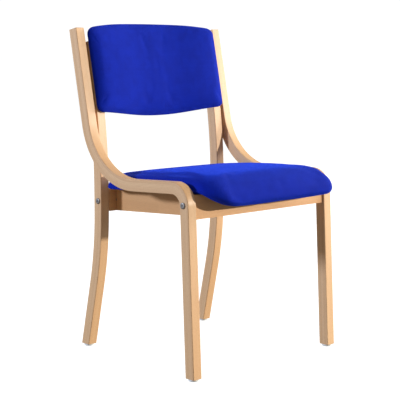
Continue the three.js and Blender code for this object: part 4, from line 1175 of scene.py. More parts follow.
@dataclass
class PadSkin:
    """A closed pad of rings between an under patch and an upper patch, with its cloth map."""

    per_side: int
    rings: list[np.ndarray]
    ring_plans: list[np.ndarray]
    under: np.ndarray
    upper: np.ndarray
    points: list = field(default_factory=list)
    faces: list = field(default_factory=list)
    maps: list = field(default_factory=list)

    def grid_faces(self, numbers: np.ndarray, plan: np.ndarray, flip: bool) -> None:
        """Adds the faces of a patch."""
        n = self.per_side
        for i in range(n):
            for j in range(n):
                spots = [(i, j), (i + 1, j), (i + 1, j + 1), (i, j + 1)]
                if flip:
                    spots.reverse()
                self.faces.append([int(numbers[s]) for s in spots])
                self.maps.append([tuple(plan[s]) for s in spots])

    def patch(self, ring: list[int], grid: np.ndarray) -> np.ndarray:
        """Numbers a patch's points, its border shared with a ring."""
        n = self.per_side
        numbers = np.full((n + 1, n + 1), -1)
        for number, spot in zip(ring, border(n)):
            numbers[spot] = number
        for i in range(1, n):
            for j in range(1, n):
                numbers[i, j] = len(self.points)
                self.points.append(grid[i, j])
        return numbers

    def build(self, name: str, space: Matrix, material: Material) -> Object:
        """Makes the pad's mesh.

        Args:
            name: The piece's name.
            space: The space that the points are given in.
            material: The cloth.

        Returns:
            The piece, not yet subdivided.
        """
        count = 4 * self.per_side
        numbers = []
        for ring in self.rings:
            numbers.append(list(range(len(self.points), len(self.points) + count)))
            self.points.extend(ring)
        rim_plan = self.ring_plans[-1]
        gaps = [np.linalg.norm(a - b, axis=1) for a, b in zip(self.rings, self.rings[1:])]
        outward = rim_plan - np.roll(rim_plan, 1, 0) + np.roll(rim_plan, -1, 0) - rim_plan
        outward = np.stack([outward[:, 1], -outward[:, 0]], 1)
        outward /= np.linalg.norm(outward, axis=1)[:, None]
        reach = [sum(gaps[k:], np.zeros(count)) for k in range(len(self.rings))]
        ring_maps = [rim_plan + outward * r[:, None] for r in reach]
        for level in range(len(self.rings) - 1):
            for k in range(count):
                m = (k + 1) % count
                spots = [(level, k), (level, m), (level + 1, m), (level + 1, k)]
                self.faces.append([numbers[a][b] for a, b in spots])
                self.maps.append([tuple(ring_maps[a][b]) for a, b in spots])
        lower = self.patch(numbers[0], self.under)
        upper = self.patch(numbers[-1], self.upper)
        self.grid_faces(lower, filled(self.ring_plans[0], self.per_side), True)
        self.grid_faces(upper, filled(rim_plan, self.per_side), False)
        piece = mesh_object(name, placed(np.array(self.points), space), self.faces, material)
        layer = piece.data.uv_layers.new(name="cloth")
        flat = np.array([c for face in self.maps for c in face], np.float32)
        layer.data.foreach_set("uv", flat.ravel())
        return piece


def vertex_places(mesh: bpy.types.Mesh) -> np.ndarray:
    """The places of a mesh's vertices, one row each."""
    places = np.zeros(len(mesh.vertices) * 3, np.float32)
    mesh.vertices.foreach_get("co", places)
    return places.reshape(-1, 3).astype(float)


def puff(piece: Object, held: Callable[[np.ndarray], np.ndarray], cap: float) -> None:
    """Lets the cover swell and pull tight by a short cloth simulation, and keeps the result.

    Args:
        piece: The pad, as a plain mesh.
        held: Gives, for rows of points, how firmly each is held from 0 to 1.
        cap: The furthest that a point may move.
    """
    mesh = piece.data
    rest = vertex_places(mesh)
    group = piece.vertex_groups.new(name="held")
    for number, weight in enumerate(held(rest)):
        if weight > 0:
            group.add([number], float(weight), "REPLACE")
    cloth = piece.modifiers.new("cover", "CLOTH")
    for key, value in COVER_SETTINGS.items():
        setattr(cloth.settings, key, value)
    cloth.settings.effector_weights.gravity = 0.0
    cloth.collision_settings.use_collision = False
    scene = bpy.context.scene
    cloth.point_cache.frame_start, cloth.point_cache.frame_end = 1, LAST_COVER_FRAME
    for frame in range(1, LAST_COVER_FRAME + 1):
        scene.frame_set(frame)
    graph = bpy.context.evaluated_depsgraph_get()
    step = vertex_places(piece.evaluated_get(graph).to_mesh()) - rest
    length = np.linalg.norm(step, axis=1)
    share = np.where(length > 1e-9, cap * np.tanh(length / cap) / np.maximum(length, 1e-9), 0.0)
    final = rest + step * share[:, None]
    piece.modifiers.remove(cloth)
    piece.vertex_groups.remove(group)
    mesh.vertices.foreach_set("co", final.astype(np.float32).ravel())
    mesh.update()
    scene.frame_set(1)
    most, uncapped = 1000 * (length * share).max(), 1000 * length.max()
    log.info("%s swelled by at most %.1f mm, %.1f mm before the cap", piece.name, most, uncapped)


def subdivide(piece: Object, levels: int) -> None:
    """Smooths a piece by subdivision and keeps the result."""
    modifier = piece.modifiers.new("smooth", "SUBSURF")
    modifier.levels = modifier.render_levels = levels
    settle_modifiers(piece)


@dataclass
class SeatCushion:
    """The seat pad: cloth over foam, with a lip that hangs in front of the front rail."""

    half_width: float = 0.214
    front_y: float = -0.262
    rear_y: float = 0.138
    height: float = 0.037
    crown: float = 0.0095
    corner_radius: float = 0.034
    rear_radius: float = 0.027
    right_extra: float = 0.019
    side_roll: float = 0.027
    front_roll: float = 0.064
    under_roll: float = 0.014
    under_margin: float = 0.007
    widest_share: float = 0.17
    rear_roll: float = 0.020
    lip_drop: float = 0.031
    lip_depth: float = 0.053
    lip_blend: float = 0.018
    lip_fade: tuple[tuple[float, float], tuple[float, float]] = ((0.137, 0.241), (0.185, 0.246))
    start_inside: float = 0.0015
    swell_cap: float = 0.0030
    free_lip: float = 0.6
    held_height: tuple[float, float] = (0.001, 0.006)
    lining_recess: float = 0.0009
    per_side: int = 60
    arc_rings: int = 12

    def drop(self, x: np.ndarray, y: np.ndarray) -> np.ndarray:
        """How far the lip hangs below the pad."""
        forward = smoothstep((self.front_y + self.lip_depth - y) / self.lip_blend)
        (right_full, right_none), (left_full, left_none) = self.lip_fade
        right = smoothstep((right_none + x) / (right_none - right_full))
        left = smoothstep((left_none - x) / (left_none - left_full))
        return self.lip_drop * forward * right * left

    def swell(self, x: np.ndarray, y: np.ndarray) -> np.ndarray:
        """How far the middle rises above the rim."""
        middle, half = (self.front_y + self.rear_y) / 2, (self.rear_y - self.front_y) / 2
        across = np.clip(1 - (x / self.half_width) ** 4, 0, None)
        along = np.clip(1 - ((y - middle) / half) ** 2, 0, None)
        return self.crown * across * along

    def profile(self) -> list[tuple[float, float, float, float, float]]:
        """Each ring's inset at the sides, front and rear, its corner radius, and its share of the height."""
        inside, under = self.start_inside, self.under_roll
        rings = []
        for share in (1.0, 0.75, 0.5, 0.25):
            front = under + (self.lip_depth - under) * share
            edge = under + inside + self.under_margin * share
            rings.append((edge, front, edge, self.corner_radius - under / 2, 0.0))
        for k in range(self.arc_rings // 2):
            angle = math.pi / 2 * (1 - 2 * k / self.arc_rings)
            inset = under * (1 - math.cos(angle))
            rise = self.widest_share * (1 - math.sin(angle))
            rings.append((*[inset + inside] * 3, self.corner_radius - inset / 2, rise))
        for k in range(self.arc_rings + 1):
            angle = math.pi / 2 * k / self.arc_rings
            curl = 1 - math.cos(angle)
            rise = self.widest_share + (1 - self.widest_share) * math.sin(angle)
            insets = [roll * curl + inside for roll in (self.side_roll, self.front_roll, self.rear_roll)]
            rings.append((*insets, self.corner_radius, rise))
        return rings

    def skin(self) -> PadSkin:
        """The pad's rings and patches in the pad's own space."""
        plan = LoopPlan(self.per_side, 2 * self.half_width, self.rear_y - self.front_y, self.corner_radius)
        rings, plans = [], []
        inside = self.start_inside
        top = self.height - inside
        for side, front, rear, radius, rise in self.profile():
            radii = (radius + self.right_extra, radius, self.rear_radius, self.rear_radius)
            loop = plan.loop(self.half_width - side, self.front_y + front, self.rear_y - rear, radii)
            x, y = loop[:, 0], loop[:, 1]
            z = rise * top - self.drop(x, y) * (1 - rise) + self.swell(x, y) * smoothstep(rise)
            rings.append(np.column_stack([loop, z]))
            plans.append(loop)
        under = filled(plans[0], self.per_side)
        under_z = np.full(under.shape[:2], self.lining_recess)
        upper = filled(plans[-1], self.per_side)
        upper_z = top + self.swell(upper[..., 0], upper[..., 1])
        return PadSkin(self.per_side, rings, plans, np.dstack([under, under_z]), np.dstack([upper, upper_z]))

    def held(self, points: np.ndarray) -> np.ndarray:
        """The cover is stapled under the board, so its underside is held."""
        local = placed(points, SEAT_PAD_SPACE.inverted())
        behind_lip = smoothstep((local[:, 1] - (self.front_y + self.free_lip * self.lip_depth)) / 0.01)
        low, blend = self.held_height
        return behind_lip * (1 - smoothstep((local[:, 2] - low) / blend))

    def build(self, finishes: Finishes) -> Object:
        """Makes the seat cushion in place of the pad's cover and foam.

        Args:
            finishes: The chair's materials.

        Returns:
            The piece.
        """
        piece = self.skin().build("seat_cushion", SEAT_PAD_SPACE, finishes.cloth)
        puff(piece, self.held, self.swell_cap)
        subdivide(piece, 1)
        adopt(piece, "blue_cloth", "seat_cover", "seat_foam")
        return piece


@dataclass
class BackCushion:
    """The back pad: hollow in plan, with crowned upper and lower edges."""

    half_width: float = 0.217
    top: float = -0.001
    bottom: float = -0.215
    top_crown: float = 0.0180
    bottom_crown: float = 0.0120
    corner_radius: float = 0.017
    flat_half: float = 0.020
    bend: float = 0.076
    wing_slope: float = math.tan(math.radians(9.6))
    crown_power: float = 2.4
    rest_x: float = 0.1885
    roll: float = 0.026
    rear_roll: float = 0.004
    rim_height: float = 0.014
    middle_swell: float = 0.010
    start_inside: float = 0.0012
    swell_cap: float = 0.0035
    held_height: tuple[float, float] = (0.0015, 0.004)
    panel_recess: float = 0.0013
    board_inset: float = 0.010
    board_depth: tuple[float, float] = (0.0022, 0.0092)
    panel_inset: float = 0.0243
    panel_depth: tuple[float, float] = (0.0002, 0.0012)
    stitch_spacing: float = 0.0062
    stitch_inset: float = 0.0030
    per_side: int = 56
    arc_rings: int = 12

    def curve(self, x: np.ndarray) -> np.ndarray:
        """How far behind the uprights' front plane the pad's rear face lies."""
        return self.forward(np.array(self.rest_x)) - self.forward(x) - JOINT_GAP

    def forward(self, x: np.ndarray) -> np.ndarray:
        """How far the wings have turned forward at x.

        A flat middle is followed by a bend, a straight wing, and a flat rest on the rear leg.
        """
        reach = np.minimum(np.abs(x), self.rest_x)
        past = np.clip(reach - self.flat_half, 0.0, None)
        bent = np.minimum(past, self.bend)
        return self.wing_slope * (bent * bent / (2 * self.bend) + (past - bent))

    def crowned(self, x: np.ndarray, z: np.ndarray) -> np.ndarray:
        """Bows the upper and lower edges outwards."""
        middle, half = (self.top + self.bottom) / 2, (self.top - self.bottom) / 2
        reach = np.clip(np.abs(x) / self.half_width, 0, 1)
        above, below = 1 - reach**self.crown_power, (1 - reach**2) ** 2
        share = (z - middle) / half
        return z + np.where(share > 0, self.top_crown * above, self.bottom_crown * below) * share

    def swell(self, x: np.ndarray, z: np.ndarray) -> np.ndarray:
        """How far the front stands out over the middle."""
        middle, half = (self.top + self.bottom) / 2, (self.top - self.bottom) / 2
        across = np.clip(1 - (x / self.half_width) ** 2, 0, None)
        along = np.clip(1 - ((z - middle) / half) ** 2, 0, None)
        return self.middle_swell * np.sqrt(across) * along

    def place(self, plan: np.ndarray, height: np.ndarray | float) -> np.ndarray:
        """Bends points of the flat pad, given as x and z with a height, to the back's hollow."""
        x, z = plan[..., 0], plan[..., 1]
        return np.stack([x, self.curve(x) - height, self.crowned(x, z)], -1)

    def outline(self, inset: float, radius: float) -> np.ndarray:
        """A rounded rectangle, an inset inside the pad's own, as x and z."""
        plan = LoopPlan(self.per_side, 2 * self.half_width, self.top - self.bottom, self.corner_radius)
        return plan.loop(self.half_width - inset, self.bottom + inset, self.top - inset, radius)

    def profile(self) -> list[tuple[float, float]]:
        """Each ring's inset and its share of the rim's height, from the rear face to the front."""
        rear_rise = self.rear_roll / self.rim_height
        rings = []
        for k in range(4):
            angle = math.pi / 2 * (1 - k / 4)
            rings.append((self.rear_roll * (1 - math.cos(angle)), rear_rise * (1 - math.sin(angle))))
        for k in range(self.arc_rings + 1):
            angle = math.pi / 2 * k / self.arc_rings
            rings.append((self.roll * (1 - math.cos(angle)), rear_rise + (1 - rear_rise) * math.sin(angle)))
        return rings

    def skin(self) -> PadSkin:
        """The pad's rings and patches in the back's own space."""
        inside = self.start_inside
        rim = self.rim_height - inside
        rings, plans = [], []
        for inset, rise in self.profile():
            loop = self.outline(inset + inside, self.corner_radius - min(inset, self.corner_radius / 2))
            height = rise * rim + self.swell(loop[:, 0], loop[:, 1]) * smoothstep(rise)
            rings.append(self.place(loop, height))
            plans.append(loop)
        under = filled(plans[0], self.per_side)
        upper = filled(plans[-1], self.per_side)
        upper_face = self.place(upper, rim + self.swell(upper[..., 0], upper[..., 1]))
        return PadSkin(self.per_side, rings, plans, self.place(under, self.panel_recess), upper_face)

    def held(self, points: np.ndarray) -> np.ndarray:
        """The cover is fixed behind the board, so its rear face is held."""
        local = placed(points, BACK_SPACE.inverted())
        proud = self.curve(local[:, 0]) - local[:, 1]
        low, blend = self.held_height
        return 1 - smoothstep((proud - low) / blend)

    def build(self, finishes: Finishes) -> Object:
        """Makes the back cushion in place of the pad's cover and foam.

        Args:
            finishes: The chair's materials.

        Returns:
            The piece.
        """
        piece = self.skin().build("back_cushion", BACK_SPACE, finishes.cloth)
        puff(piece, self.held, self.swell_cap)
        subdivide(piece, 1)
        adopt(piece, "blue_cloth", "back_cover", "back_foam")
        return piece

    def slab(self, name: str, inset: float, depth: tuple[float, float], material: Material) -> Object:
        """Makes a thin sheet that follows the back's hollow.

        Args:
            name: The piece's name.
            inset: How far its outline lies inside the pad's.
            depth: How far its rear and front faces stand in front of the pad's rear face.
            material: Its material.

        Returns:
            The piece.
        """
        outline = self.outline(inset, self.corner_radius)
        softened = self.outline(inset + self.rear_roll / 8, self.corner_radius)
        rear, front = depth
        third = (front - rear) / 3
        plans = [softened, outline, outline, softened]
        levels = [rear, rear + third, front - third, front]
        rings = [self.place(plan, level) for plan, level in zip(plans, levels)]
        inner = filled(softened, self.per_side)
        skin = PadSkin(self.per_side, rings, plans, self.place(inner, rear), self.place(inner, front))
        return skin.build(name, BACK_SPACE, material)

    def build_board(self, finishes: Finishes) -> Object:
        """Makes the bent board inside the pad."""
        board = self.slab("back_board_bent", self.board_inset, self.board_depth, finishes.plywood)
        return adopt(board, "plywood", "back_board")

    def build_panel(self, finishes: Finishes, run: NodeTree, stitch: Object) -> None:
        """Makes the cloth panel on the rear face and the stitches round it.

        Args:
            finishes: The chair's materials.
            run: The tree that sets fixings along a line.
            stitch: One stitch.
        """
        panel = self.slab("back_panel", self.panel_inset, self.panel_depth, finishes.cloth)
        adopt(panel, "blue_cloth", "back_lining")
        line = self.outline(self.panel_inset + self.stitch_inset, self.corner_radius)
        points = placed(self.place(line, self.panel_depth[0]), BACK_SPACE)
        rearward = BACK_SPACE.to_3x3() @ Vector((0.0, 1.0, 0.0))
        stitches = fixing_line("back_panel_stitches", points, rearward)
        values = {"Shape": stitch, "Spacing": self.stitch_spacing, "Unevenness": 0.08, "Seed": 5}
        run_tree(stitches, run, {**values, "Finish": finishes.thread})
        adopt(stitches, "blue_cloth")


def fixing_line(name: str, points: np.ndarray, facing: Vector) -> Object:
    """Makes a closed line for fixings to follow.

    Args:
        name: The piece's name.
        points: The line's points.
        facing: Which way the fixings face.

    Returns:
        The line, as edges that keep the facing.
    """
    count = len(points)
    line = mesh_object(name, points, [(k, (k + 1) % count) for k in range(count)])
    face_points(line, list(facing) * count)
    return line


@dataclass
class SeatLining:
    """The black lining stapled under the seat, sagging a little inside the rails."""

    half_width: float = 0.1877
    front_y: float = -0.2074
    rear_y: float = 0.1117
    corner_radius: float = 0.020
    thickness: float = 0.0005
    hem: float = 0.012
    hem_rise: float = 0.0003
    sag: float = 0.0022
    sag_half_width: float = 0.145
    sag_front_y: float = -0.176
    sag_rear_y: float = 0.112
    sag_blend: float = 0.06
    pucker: float = 0.00025
    staple_spacing: float = 0.034
    staple_inset: float = 0.006
    per_side: int = 72

    def depth(self, x: np.ndarray, y: np.ndarray) -> np.ndarray:
        """How far the lining hangs below the pad's underside."""
        middle, half = (self.sag_front_y + self.sag_rear_y) / 2, (self.sag_rear_y - self.sag_front_y) / 2
        across = smoothstep((self.sag_half_width - np.abs(x)) / self.sag_blend)
        along = smoothstep((half - np.abs(y - middle)) / self.sag_blend)
        to_edge = np.minimum(self.half_width - np.abs(x), np.minimum(y - self.front_y, self.rear_y - y))
        hem = self.hem_rise * smoothstep((self.hem - to_edge) / 0.001)
        waves = np.prod([np.sin(v * 2 * math.pi / self.staple_spacing) for v in (x, y)], axis=0)
        near_edge = 1 - smoothstep(to_edge / 0.03)
        return self.sag * across * along + hem + self.pucker * (0.2 + near_edge) * (1 + waves) / 2

    def face(self, plan: np.ndarray, lift: float) -> np.ndarray:
        """Points of one face of the lining over a plan."""
        x, y = plan[..., 0], plan[..., 1]
        return np.stack([x, y, lift - self.depth(x, y)], -1)

    def build(self, finishes: Finishes, run: NodeTree, staple: Object) -> None:
        """Makes the lining and its staples.

        Args:
            finishes: The chair's materials.
            run: The tree that sets fixings along a line.
            staple: One staple.
        """
        size = (2 * self.half_width, self.rear_y - self.front_y)
        loops = LoopPlan(self.per_side, size[0], size[1], self.corner_radius)
        outline = loops.loop(self.half_width, self.front_y, self.rear_y, self.corner_radius)
        inner = filled(outline, self.per_side)
        top = self.thickness + self.hem_rise + 2 * self.pucker
        low = top - self.thickness
        rings = [self.face(outline, level) for level in (low, top)]
        skin = PadSkin(self.per_side, rings, [outline] * 2, self.face(inner, low), self.face(inner, top))
        piece = skin.build("seat_dust_lining", SEAT_PAD_SPACE, finishes.lining)
        adopt(piece, "black_cloth", "seat_lining")
        edge = self.staple_inset
        line = loops.loop(self.half_width - edge, self.front_y + edge, self.rear_y - edge, self.corner_radius)
        points = placed(self.face(line, low), SEAT_PAD_SPACE)
        downward = SEAT_PAD_SPACE.to_3x3() @ Vector((0.0, 0.0, -1.0))
        staples = fixing_line("lining_staples", points, downward)
        values = {"Shape": staple, "Spacing": self.staple_spacing, "Unevenness": 0.22, "Seed": 11}
        run_tree(staples, run, {**values, "Finish": finishes.steel})
        adopt(staples, "steel")


# Fasteners and glides


class Drive(Enum):
    """The driver's socket in a head, as its number of corners."""

    CROSS = 4
    HEXAGON = 6


@dataclass(frozen=True)
class FastenerShape:
    """A kind of turned fastener with its head's seat at height 0, pointing up."""

    head_radius: float
    head_height: float
    shank_radius: float
    socket_radius: float
    drive: Drive
    countersunk: bool = False
    proud: float = 0.0
    socket_share: float = 0.7
    sides: int = 36

    def ring(self, radius: float, height: float) -> list[tuple[float, float, float]]:
        """One round ring."""
        return [(radius * math.cos(a), radius * math.sin(a), height) for a in circle(self.sides)]

    def socket_ring(self, radius: float, height: float) -> list[tuple[float, float, float]]:
        """One ring of the driver's socket: a hexagon, or a cross with four arms."""
        points = []
        for a in circle(self.sides):
            if self.drive is Drive.HEXAGON:
                spread = math.pi / 3
                reach = radius / math.cos((a % spread) - spread / 2)
            else:
                spread = math.pi / 2
                swing = abs(((a + spread / 2) % spread) - spread / 2)
                reach = radius * (1.0 - 0.62 * smoothstep(swing / (spread / 3.2)))
            points.append((reach * math.cos(a), reach * math.sin(a), height))
        return points

    def build(self, length: float) -> Object:
        """Makes the fastener's mesh from its whole length."""
        r, h, shank = self.head_radius, self.head_height, self.shank_radius
        end, depth = h - length, h * self.socket_share
        if self.countersunk:
            head = [(0.98, 0.86), (1.0, 0.95), (0.97, 1.0)]
        else:
            head = [(0.96, 0.0), (1.0, 0.12), (1.0, 0.42), (0.965, 0.66)]
            head += [(0.88, 0.86), (0.76, 0.97), (0.64, 1.0)]
        rings = [self.ring(0.0, end), self.ring(shank * 0.7, end), self.ring(shank, end + shank * 0.4)]
        rings += [self.ring(shank, 0.0), *(self.ring(r * wide, h * high) for wide, high in head)]
        rings += [
            self.socket_ring(self.socket_radius * 1.06, h),
            self.socket_ring(self.socket_radius, h - depth * 0.1),
            self.socket_ring(self.socket_radius, h - depth),
            self.ring(0.0, h - depth * 1.15),
        ]
        points, faces = stacked(rings)
        piece = mesh_object("fastener_shape", points, faces)
        piece.data.set_sharp_from_angle(angle=math.radians(35))
        return piece


@dataclass(frozen=True)
class FastenerSite:
    """Where the frame has a fastener: the end of its head and the way that it faces."""

    end: Vector
    facing: Vector
    length: float

    @classmethod
    def of(cls, solid: Object, axis: Vector) -> "FastenerSite":
        """Reads a site from the solid; its head is at the wider end.

        Args:
            solid: The fastener's solid.
            axis: A direction along it.

        Returns:
            The site.
        """
        points = np.array([solid.matrix_world @ v.co for v in solid.data.vertices])
        middle = (points.min(0) + points.max(0)) / 2
        along = (points - middle) @ np.array(axis)
        spread = np.linalg.norm(points - middle - np.outer(along, np.array(axis)), axis=1)
        far, near = along.max(), along.min()
        reach = (far - near) / 20
        wide_far = spread[along > far - reach].max()
        wide_near = spread[along < near + reach].max()
        facing, end = (axis, far) if wide_far > wide_near else (-axis, near)
        centre = Vector(middle) + axis * float(end)
        return cls(centre, facing, float(far - near))


@dataclass
class Hardware:
    """The screws, bolts and glides, each kind set at the places that the frame gives."""

    nodes: dict
    finishes: Finishes
    bolt: FastenerShape = FastenerShape(0.0075, 0.0026, 0.003, 0.0021, Drive.HEXAGON)
    back_screw: FastenerShape = FastenerShape(0.0065, 0.0032, 0.003, 0.0021, Drive.HEXAGON)
    seat_screw: FastenerShape = FastenerShape(0.0050, 0.0030, 0.0025, 0.0024, Drive.CROSS)
    side_screw: FastenerShape = FastenerShape(0.0040, 0.0024, 0.002, 0.0019, Drive.CROSS, True, 0.0003)
    glide_radius: float = 0.012
    glide_height: float = 0.0047
    glide_sides: int = 48
    glide_profile: tuple[tuple[float, float], ...] = (
        (0.0, 0.0), (0.97, 0.0), (1.0, 0.08), (1.0, 0.62), (0.975, 0.80), (0.90, 0.94),
        (0.78, 1.0), (0.36, 1.0), (0.32, 0.93), (0.31, 0.74), (0.0, 0.72),
    )
    steel_crease: float = math.radians(35)
    plastic_crease: float = math.radians(40)
    tree: NodeTree = field(default_factory=fastener_tree)

    def place(
        self, piece: Object, shape: Object, facings: Sequence[float], seed: int, finish: Material
    ) -> None:
        """Sets a shape at each point of a piece, and takes the shape away.

        Args:
            piece: The piece, as points.
            shape: One fastener.
            facings: Which way each faces, as a run of x, y and z.
            seed: Seed of the turn of each.
            finish: The material.
        """
        face_points(piece, facings)
        run_tree(piece, self.tree, {"Shape": shape, "Seed": seed, "Finish": finish})
        bpy.data.objects.remove(shape)

    def set_out(self, name: str, names: Sequence[str], axis: Vector, shape: FastenerShape, seed: int) -> None:
        """Sets one kind of fastener at all its places.

        Args:
            name: The piece's name.
            names: The solids that it stands for.
            axis: A direction along them.
            shape: The kind of fastener.
            seed: Seed of the turn of each.
        """
        sites = [FastenerSite.of(self.nodes[n], axis) for n in names]
        points = [site.end + site.facing * (shape.proud - shape.head_height) for site in sites]
        piece = mesh_object(name, points, [])
        facings = [v for site in sites for v in site.facing]
        self.place(piece, shape.build(sites[0].length), facings, seed, self.finishes.steel)
        crease(piece, self.steel_crease)
        adopt(piece, "steel", *names)

    def set_out_glides(self, names: Sequence[str], seed: int) -> None:
        """Sets the glides under the feet, floor side down, each with a recess for its nail.

        Args:
            names: The solids that they stand for.
            seed: Seed of the turn of each.
        """
        points = []
        for name in names:
            low, high = (Vector(corner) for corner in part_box(name))
            points.append(Vector(((low.x + high.x) / 2, (low.y + high.y) / 2, high.z)))
        profile = [(wide * self.glide_radius, high * self.glide_height) for wide, high in self.glide_profile]
        shape = mesh_object("glide_shape", *turned(profile, self.glide_sides))
        piece = mesh_object("foot_glides", points, [])
        self.place(piece, shape, [0.0, 0.0, -1.0] * len(points), seed, self.finishes.plastic)
        crease(piece, self.plastic_crease)
        adopt(piece, "white_plastic", *names)

    def build(self) -> None:
        """Makes all the hardware."""
        left_right = [side.label for side in Side]
        across = Vector((1.0, 0.0, 0.0))
        rearward = BACK_SPACE.to_3x3() @ Vector((0.0, 1.0, 0.0))
        seat_up = SEAT_SPACE.to_3x3() @ Vector((0.0, 0.0, 1.0))
        for end, seed in (("front", 3), ("rear", 8)):
            names = [f"leg_bolt_{end}_{side}" for side in left_right]
            self.set_out(f"leg_bolts_{end}", names, across, self.bolt, seed)
            names = [f"seat_screw_{end}_{side}" for side in left_right]
            self.set_out(f"seat_screws_{end}", names, seat_up, self.seat_screw, seed + 20)
        names = [f"back_screw_{side}_{k}" for side in left_right for k in (1, 2)]
        self.set_out("back_screws", names, rearward, self.back_screw, 14)
        names = [f"side_screw_{side}_{k}" for side in left_right for k in (1, 2)]
        self.set_out("side_screws", names, across, self.side_screw, 17)
        self.set_out_glides([f"glide_{end}_{side}" for end in ("front", "rear") for side in left_right], 2)


@dataclass(frozen=True)
class SmallFixings:
    """The staple and the stitch that runs of fixings repeat; each lies along x and faces up."""

    staple_length: float = 0.0100
    staple_wire: float = 0.0009
    stitch_length: float = 0.0042
    stitch_width: float = 0.0008
    steps: int = 8
    sides: int = 10

    def bar(self, name: str, length: float, width: float, arch: float) -> Object:
        """Makes a short round bar, arched up in the middle and sunk at its ends."""
        rings = []
        for k in range(self.steps + 1):
            t = k / self.steps * 2 - 1
            radius = width / 2 * (0.55 if abs(t) > 0.99 else 1.0)
            lift = arch * (1 - t**4) - width * 0.15
            spokes = [(radius * math.cos(a), radius * math.sin(a)) for a in circle(self.sides)]
            rings.append([(t * length / 2, across, lift + up) for across, up in spokes])
        points, faces = stacked(rings)
        return mesh_object(name, points, faces)

    def staple(self) -> Object:
        """Makes one staple's crown."""
        return self.bar("staple_shape", self.staple_length, self.staple_wire, self.staple_wire * 0.3)

    def stitch(self) -> Object:
        """Makes one stitch."""
        return self.bar("stitch_shape", self.stitch_length, self.stitch_width, self.stitch_width * 0.35)


# Studio


def toward(azimuth: float, elevation: float) -> Vector:
    """The direction to a viewpoint or light; azimuth 0 is in front, positive at the sitter's left."""
    level = math.cos(elevation)
    return Vector((math.sin(azimuth) * level, -math.cos(azimuth) * level, math.sin(elevation)))


def aim(name: str, data: bpy.types.ID, place: Vector, way: Vector) -> Object:
    """Stands a camera or a light at a place, looking along a direction.

    Args:
        name: The object's name.
        data: The camera or light.
        place: Where it stands.
        way: Which way it looks.

    Returns:
        The object.
    """
    piece = bpy.data.objects.new(name, data)
    piece.location = place
    piece.rotation_mode = "QUATERNION"
    piece.rotation_quaternion = way.to_track_quat("-Z", "Y")
    bpy.context.scene.collection.objects.link(piece)
    return piece


@dataclass(frozen=True)
class Lamp:
    """A square soft light round the chair."""

    name: str
    azimuth: float
    elevation: float
    distance: float
    size: float
    watts: float
    tint: tuple[float, float, float]

    def build(self, middle: Vector) -> None:
        """Makes the light, facing the chair's middle."""
        data = bpy.data.lights.new(self.name, "AREA")
        data.shape, data.size, data.energy, data.color = "SQUARE", self.size, self.watts, self.tint
        place = middle + toward(self.azimuth, self.elevation) * self.distance
        aim(self.name, data, place, middle - place)


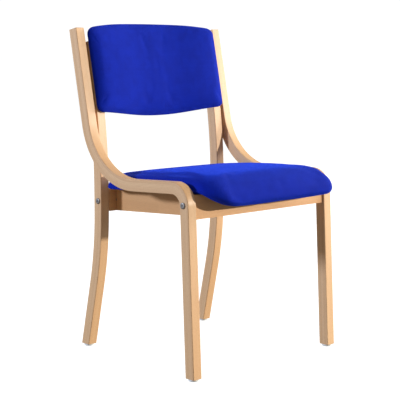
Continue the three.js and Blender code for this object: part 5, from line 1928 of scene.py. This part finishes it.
@dataclass
class Studio:
    """Pale floor, soft lights and the photograph's viewpoint."""

    camera_place: Vector = field(default_factory=lambda: Vector((-2.0321, -2.1015, 0.7560)))
    azimuth: float = math.radians(-43.624)
    elevation: float = math.radians(5.449)
    lens: float = 105.902
    sensor: float = 36.0
    shift_y: float = -0.10
    ambient: float = 0.27
    floor_size: float = 200.0
    middle_height: float = 0.42
    lamps: tuple[Lamp, ...] = (
        Lamp("key", math.radians(37), math.radians(10.7), 8.0, 0.22, 575.0, (1.0, 0.96, 0.85)),
        Lamp("fill", math.radians(-118), math.radians(17), 6.0, 0.7, 295.0, (0.68, 0.80, 1.04)),
        Lamp("side", math.radians(78), math.radians(14), 5.0, 1.8, 310.0, (1.0, 0.98, 0.95)),
        Lamp("behind", math.radians(168), math.radians(20), 4.0, 2.0, 34.0, (1.0, 1.0, 1.0)),
    )

    def camera(self) -> None:
        """Makes the camera."""
        data = bpy.data.cameras.new("camera")
        data.lens, data.sensor_width, data.shift_y = self.lens, self.sensor, self.shift_y
        data.clip_start, data.clip_end = 0.1, 100.0
        way = -toward(self.azimuth, self.elevation)
        bpy.context.scene.camera = aim("camera", data, self.camera_place, way)

    def surroundings(self) -> None:
        """Makes the white surroundings: bright where seen, dimmer as light."""
        world = bpy.data.worlds.new("studio")
        world.use_nodes = True
        bpy.context.scene.world = world
        w = Wiring(world.node_tree)
        seen = w.add("ShaderNodeLightPath").outputs["Is Camera Ray"]
        back = world.node_tree.nodes["Background"]
        back.inputs["Color"].default_value = (1.0, 1.0, 1.0, 1.0)
        w.feed(back.inputs["Strength"], w.math("MULTIPLY_ADD", seen, 1.05 - self.ambient, self.ambient))

    def floor(self) -> None:
        """Makes the pale floor."""
        half = self.floor_size / 2
        material, w, surface = new_finish("pale_floor")
        grey, white = (0.3, 0.3, 0.3, 1.0), (1.0, 1.0, 1.0, 1.0)
        matt = {"Base Color": grey, "Roughness": 1.0, "Specular IOR Level": 0.0}
        for key, value in {**matt, "Emission Color": white, "Emission Strength": 0.93}.items():
            surface.inputs[key].default_value = value
        below = w.add("ShaderNodeNewGeometry").outputs["Backfacing"]
        clear = w.add("ShaderNodeBsdfTransparent").outputs[0]
        one_sided = w.add("ShaderNodeMixShader", {0: below, 1: surface.outputs[0], 2: clear}).outputs[0]
        w.feed(w.tree.nodes["Material Output"].inputs["Surface"], one_sided)
        corners = [(-half, -half, 0.0), (half, -half, 0.0), (half, half, 0.0), (-half, half, 0.0)]
        floor = mesh_object("studio_floor", corners, [(0, 1, 2, 3)], material)
        floor.visible_diffuse = floor.visible_glossy = False

    def build(self) -> None:
        """Makes the whole studio."""
        self.camera()
        self.surroundings()
        self.floor()
        for lamp in self.lamps:
            lamp.build(Vector((0.0, 0.0, self.middle_height)))
        bpy.context.scene.view_settings.view_transform = "Standard"


def dress(frame: dict, finishes: Finishes) -> None:
    """Gives every solid that stays its finish.

    Args:
        frame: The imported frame.
        finishes: The chair's materials.
    """
    by_start: dict[str, Material] = {
        "front_rail": finishes.cross_rail,
        "rear_rail": finishes.cross_rail,
        "side_rail": finishes.side_rail,
        "side_packer": finishes.packer,
        "corner_block": finishes.plywood,
        "seat_board": finishes.plywood,
        "back_board": finishes.plywood,
        "back_insert": finishes.brass,
        "seat_lining": finishes.lining,
        "back_lining": finishes.cloth,
        "seat_foam": finishes.foam,
        "back_foam": finishes.foam,
        "glide_nail": finishes.steel,
        "glide": finishes.plastic,
    }
    for name, solid in frame["nodes"].items():
        material = next((m for start, m in by_start.items() if name.startswith(start)), finishes.steel)
        solid.data.materials.clear()
        solid.data.materials.append(material)


def main() -> None:
    """Builds the chair and its studio."""
    logging.basicConfig(level=logging.INFO, format="%(name)s: %(message)s")
    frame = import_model()
    finishes = Finishes()
    dress(frame, finishes)
    BentwoodFrame().build(finishes)
    SeatCushion().build(finishes)
    back = BackCushion()
    back.build(finishes)
    back.build_board(finishes)
    run, fixings = fixing_tree(), SmallFixings()
    staple, stitch = fixings.staple(), fixings.stitch()
    back.build_panel(finishes, run, stitch)
    SeatLining().build(finishes, run, staple)
    for shape in (staple, stitch):
        bpy.data.objects.remove(shape)
    Hardware(frame["nodes"], finishes).build()
    Studio().build()


if __name__ == "__main__":
    main()
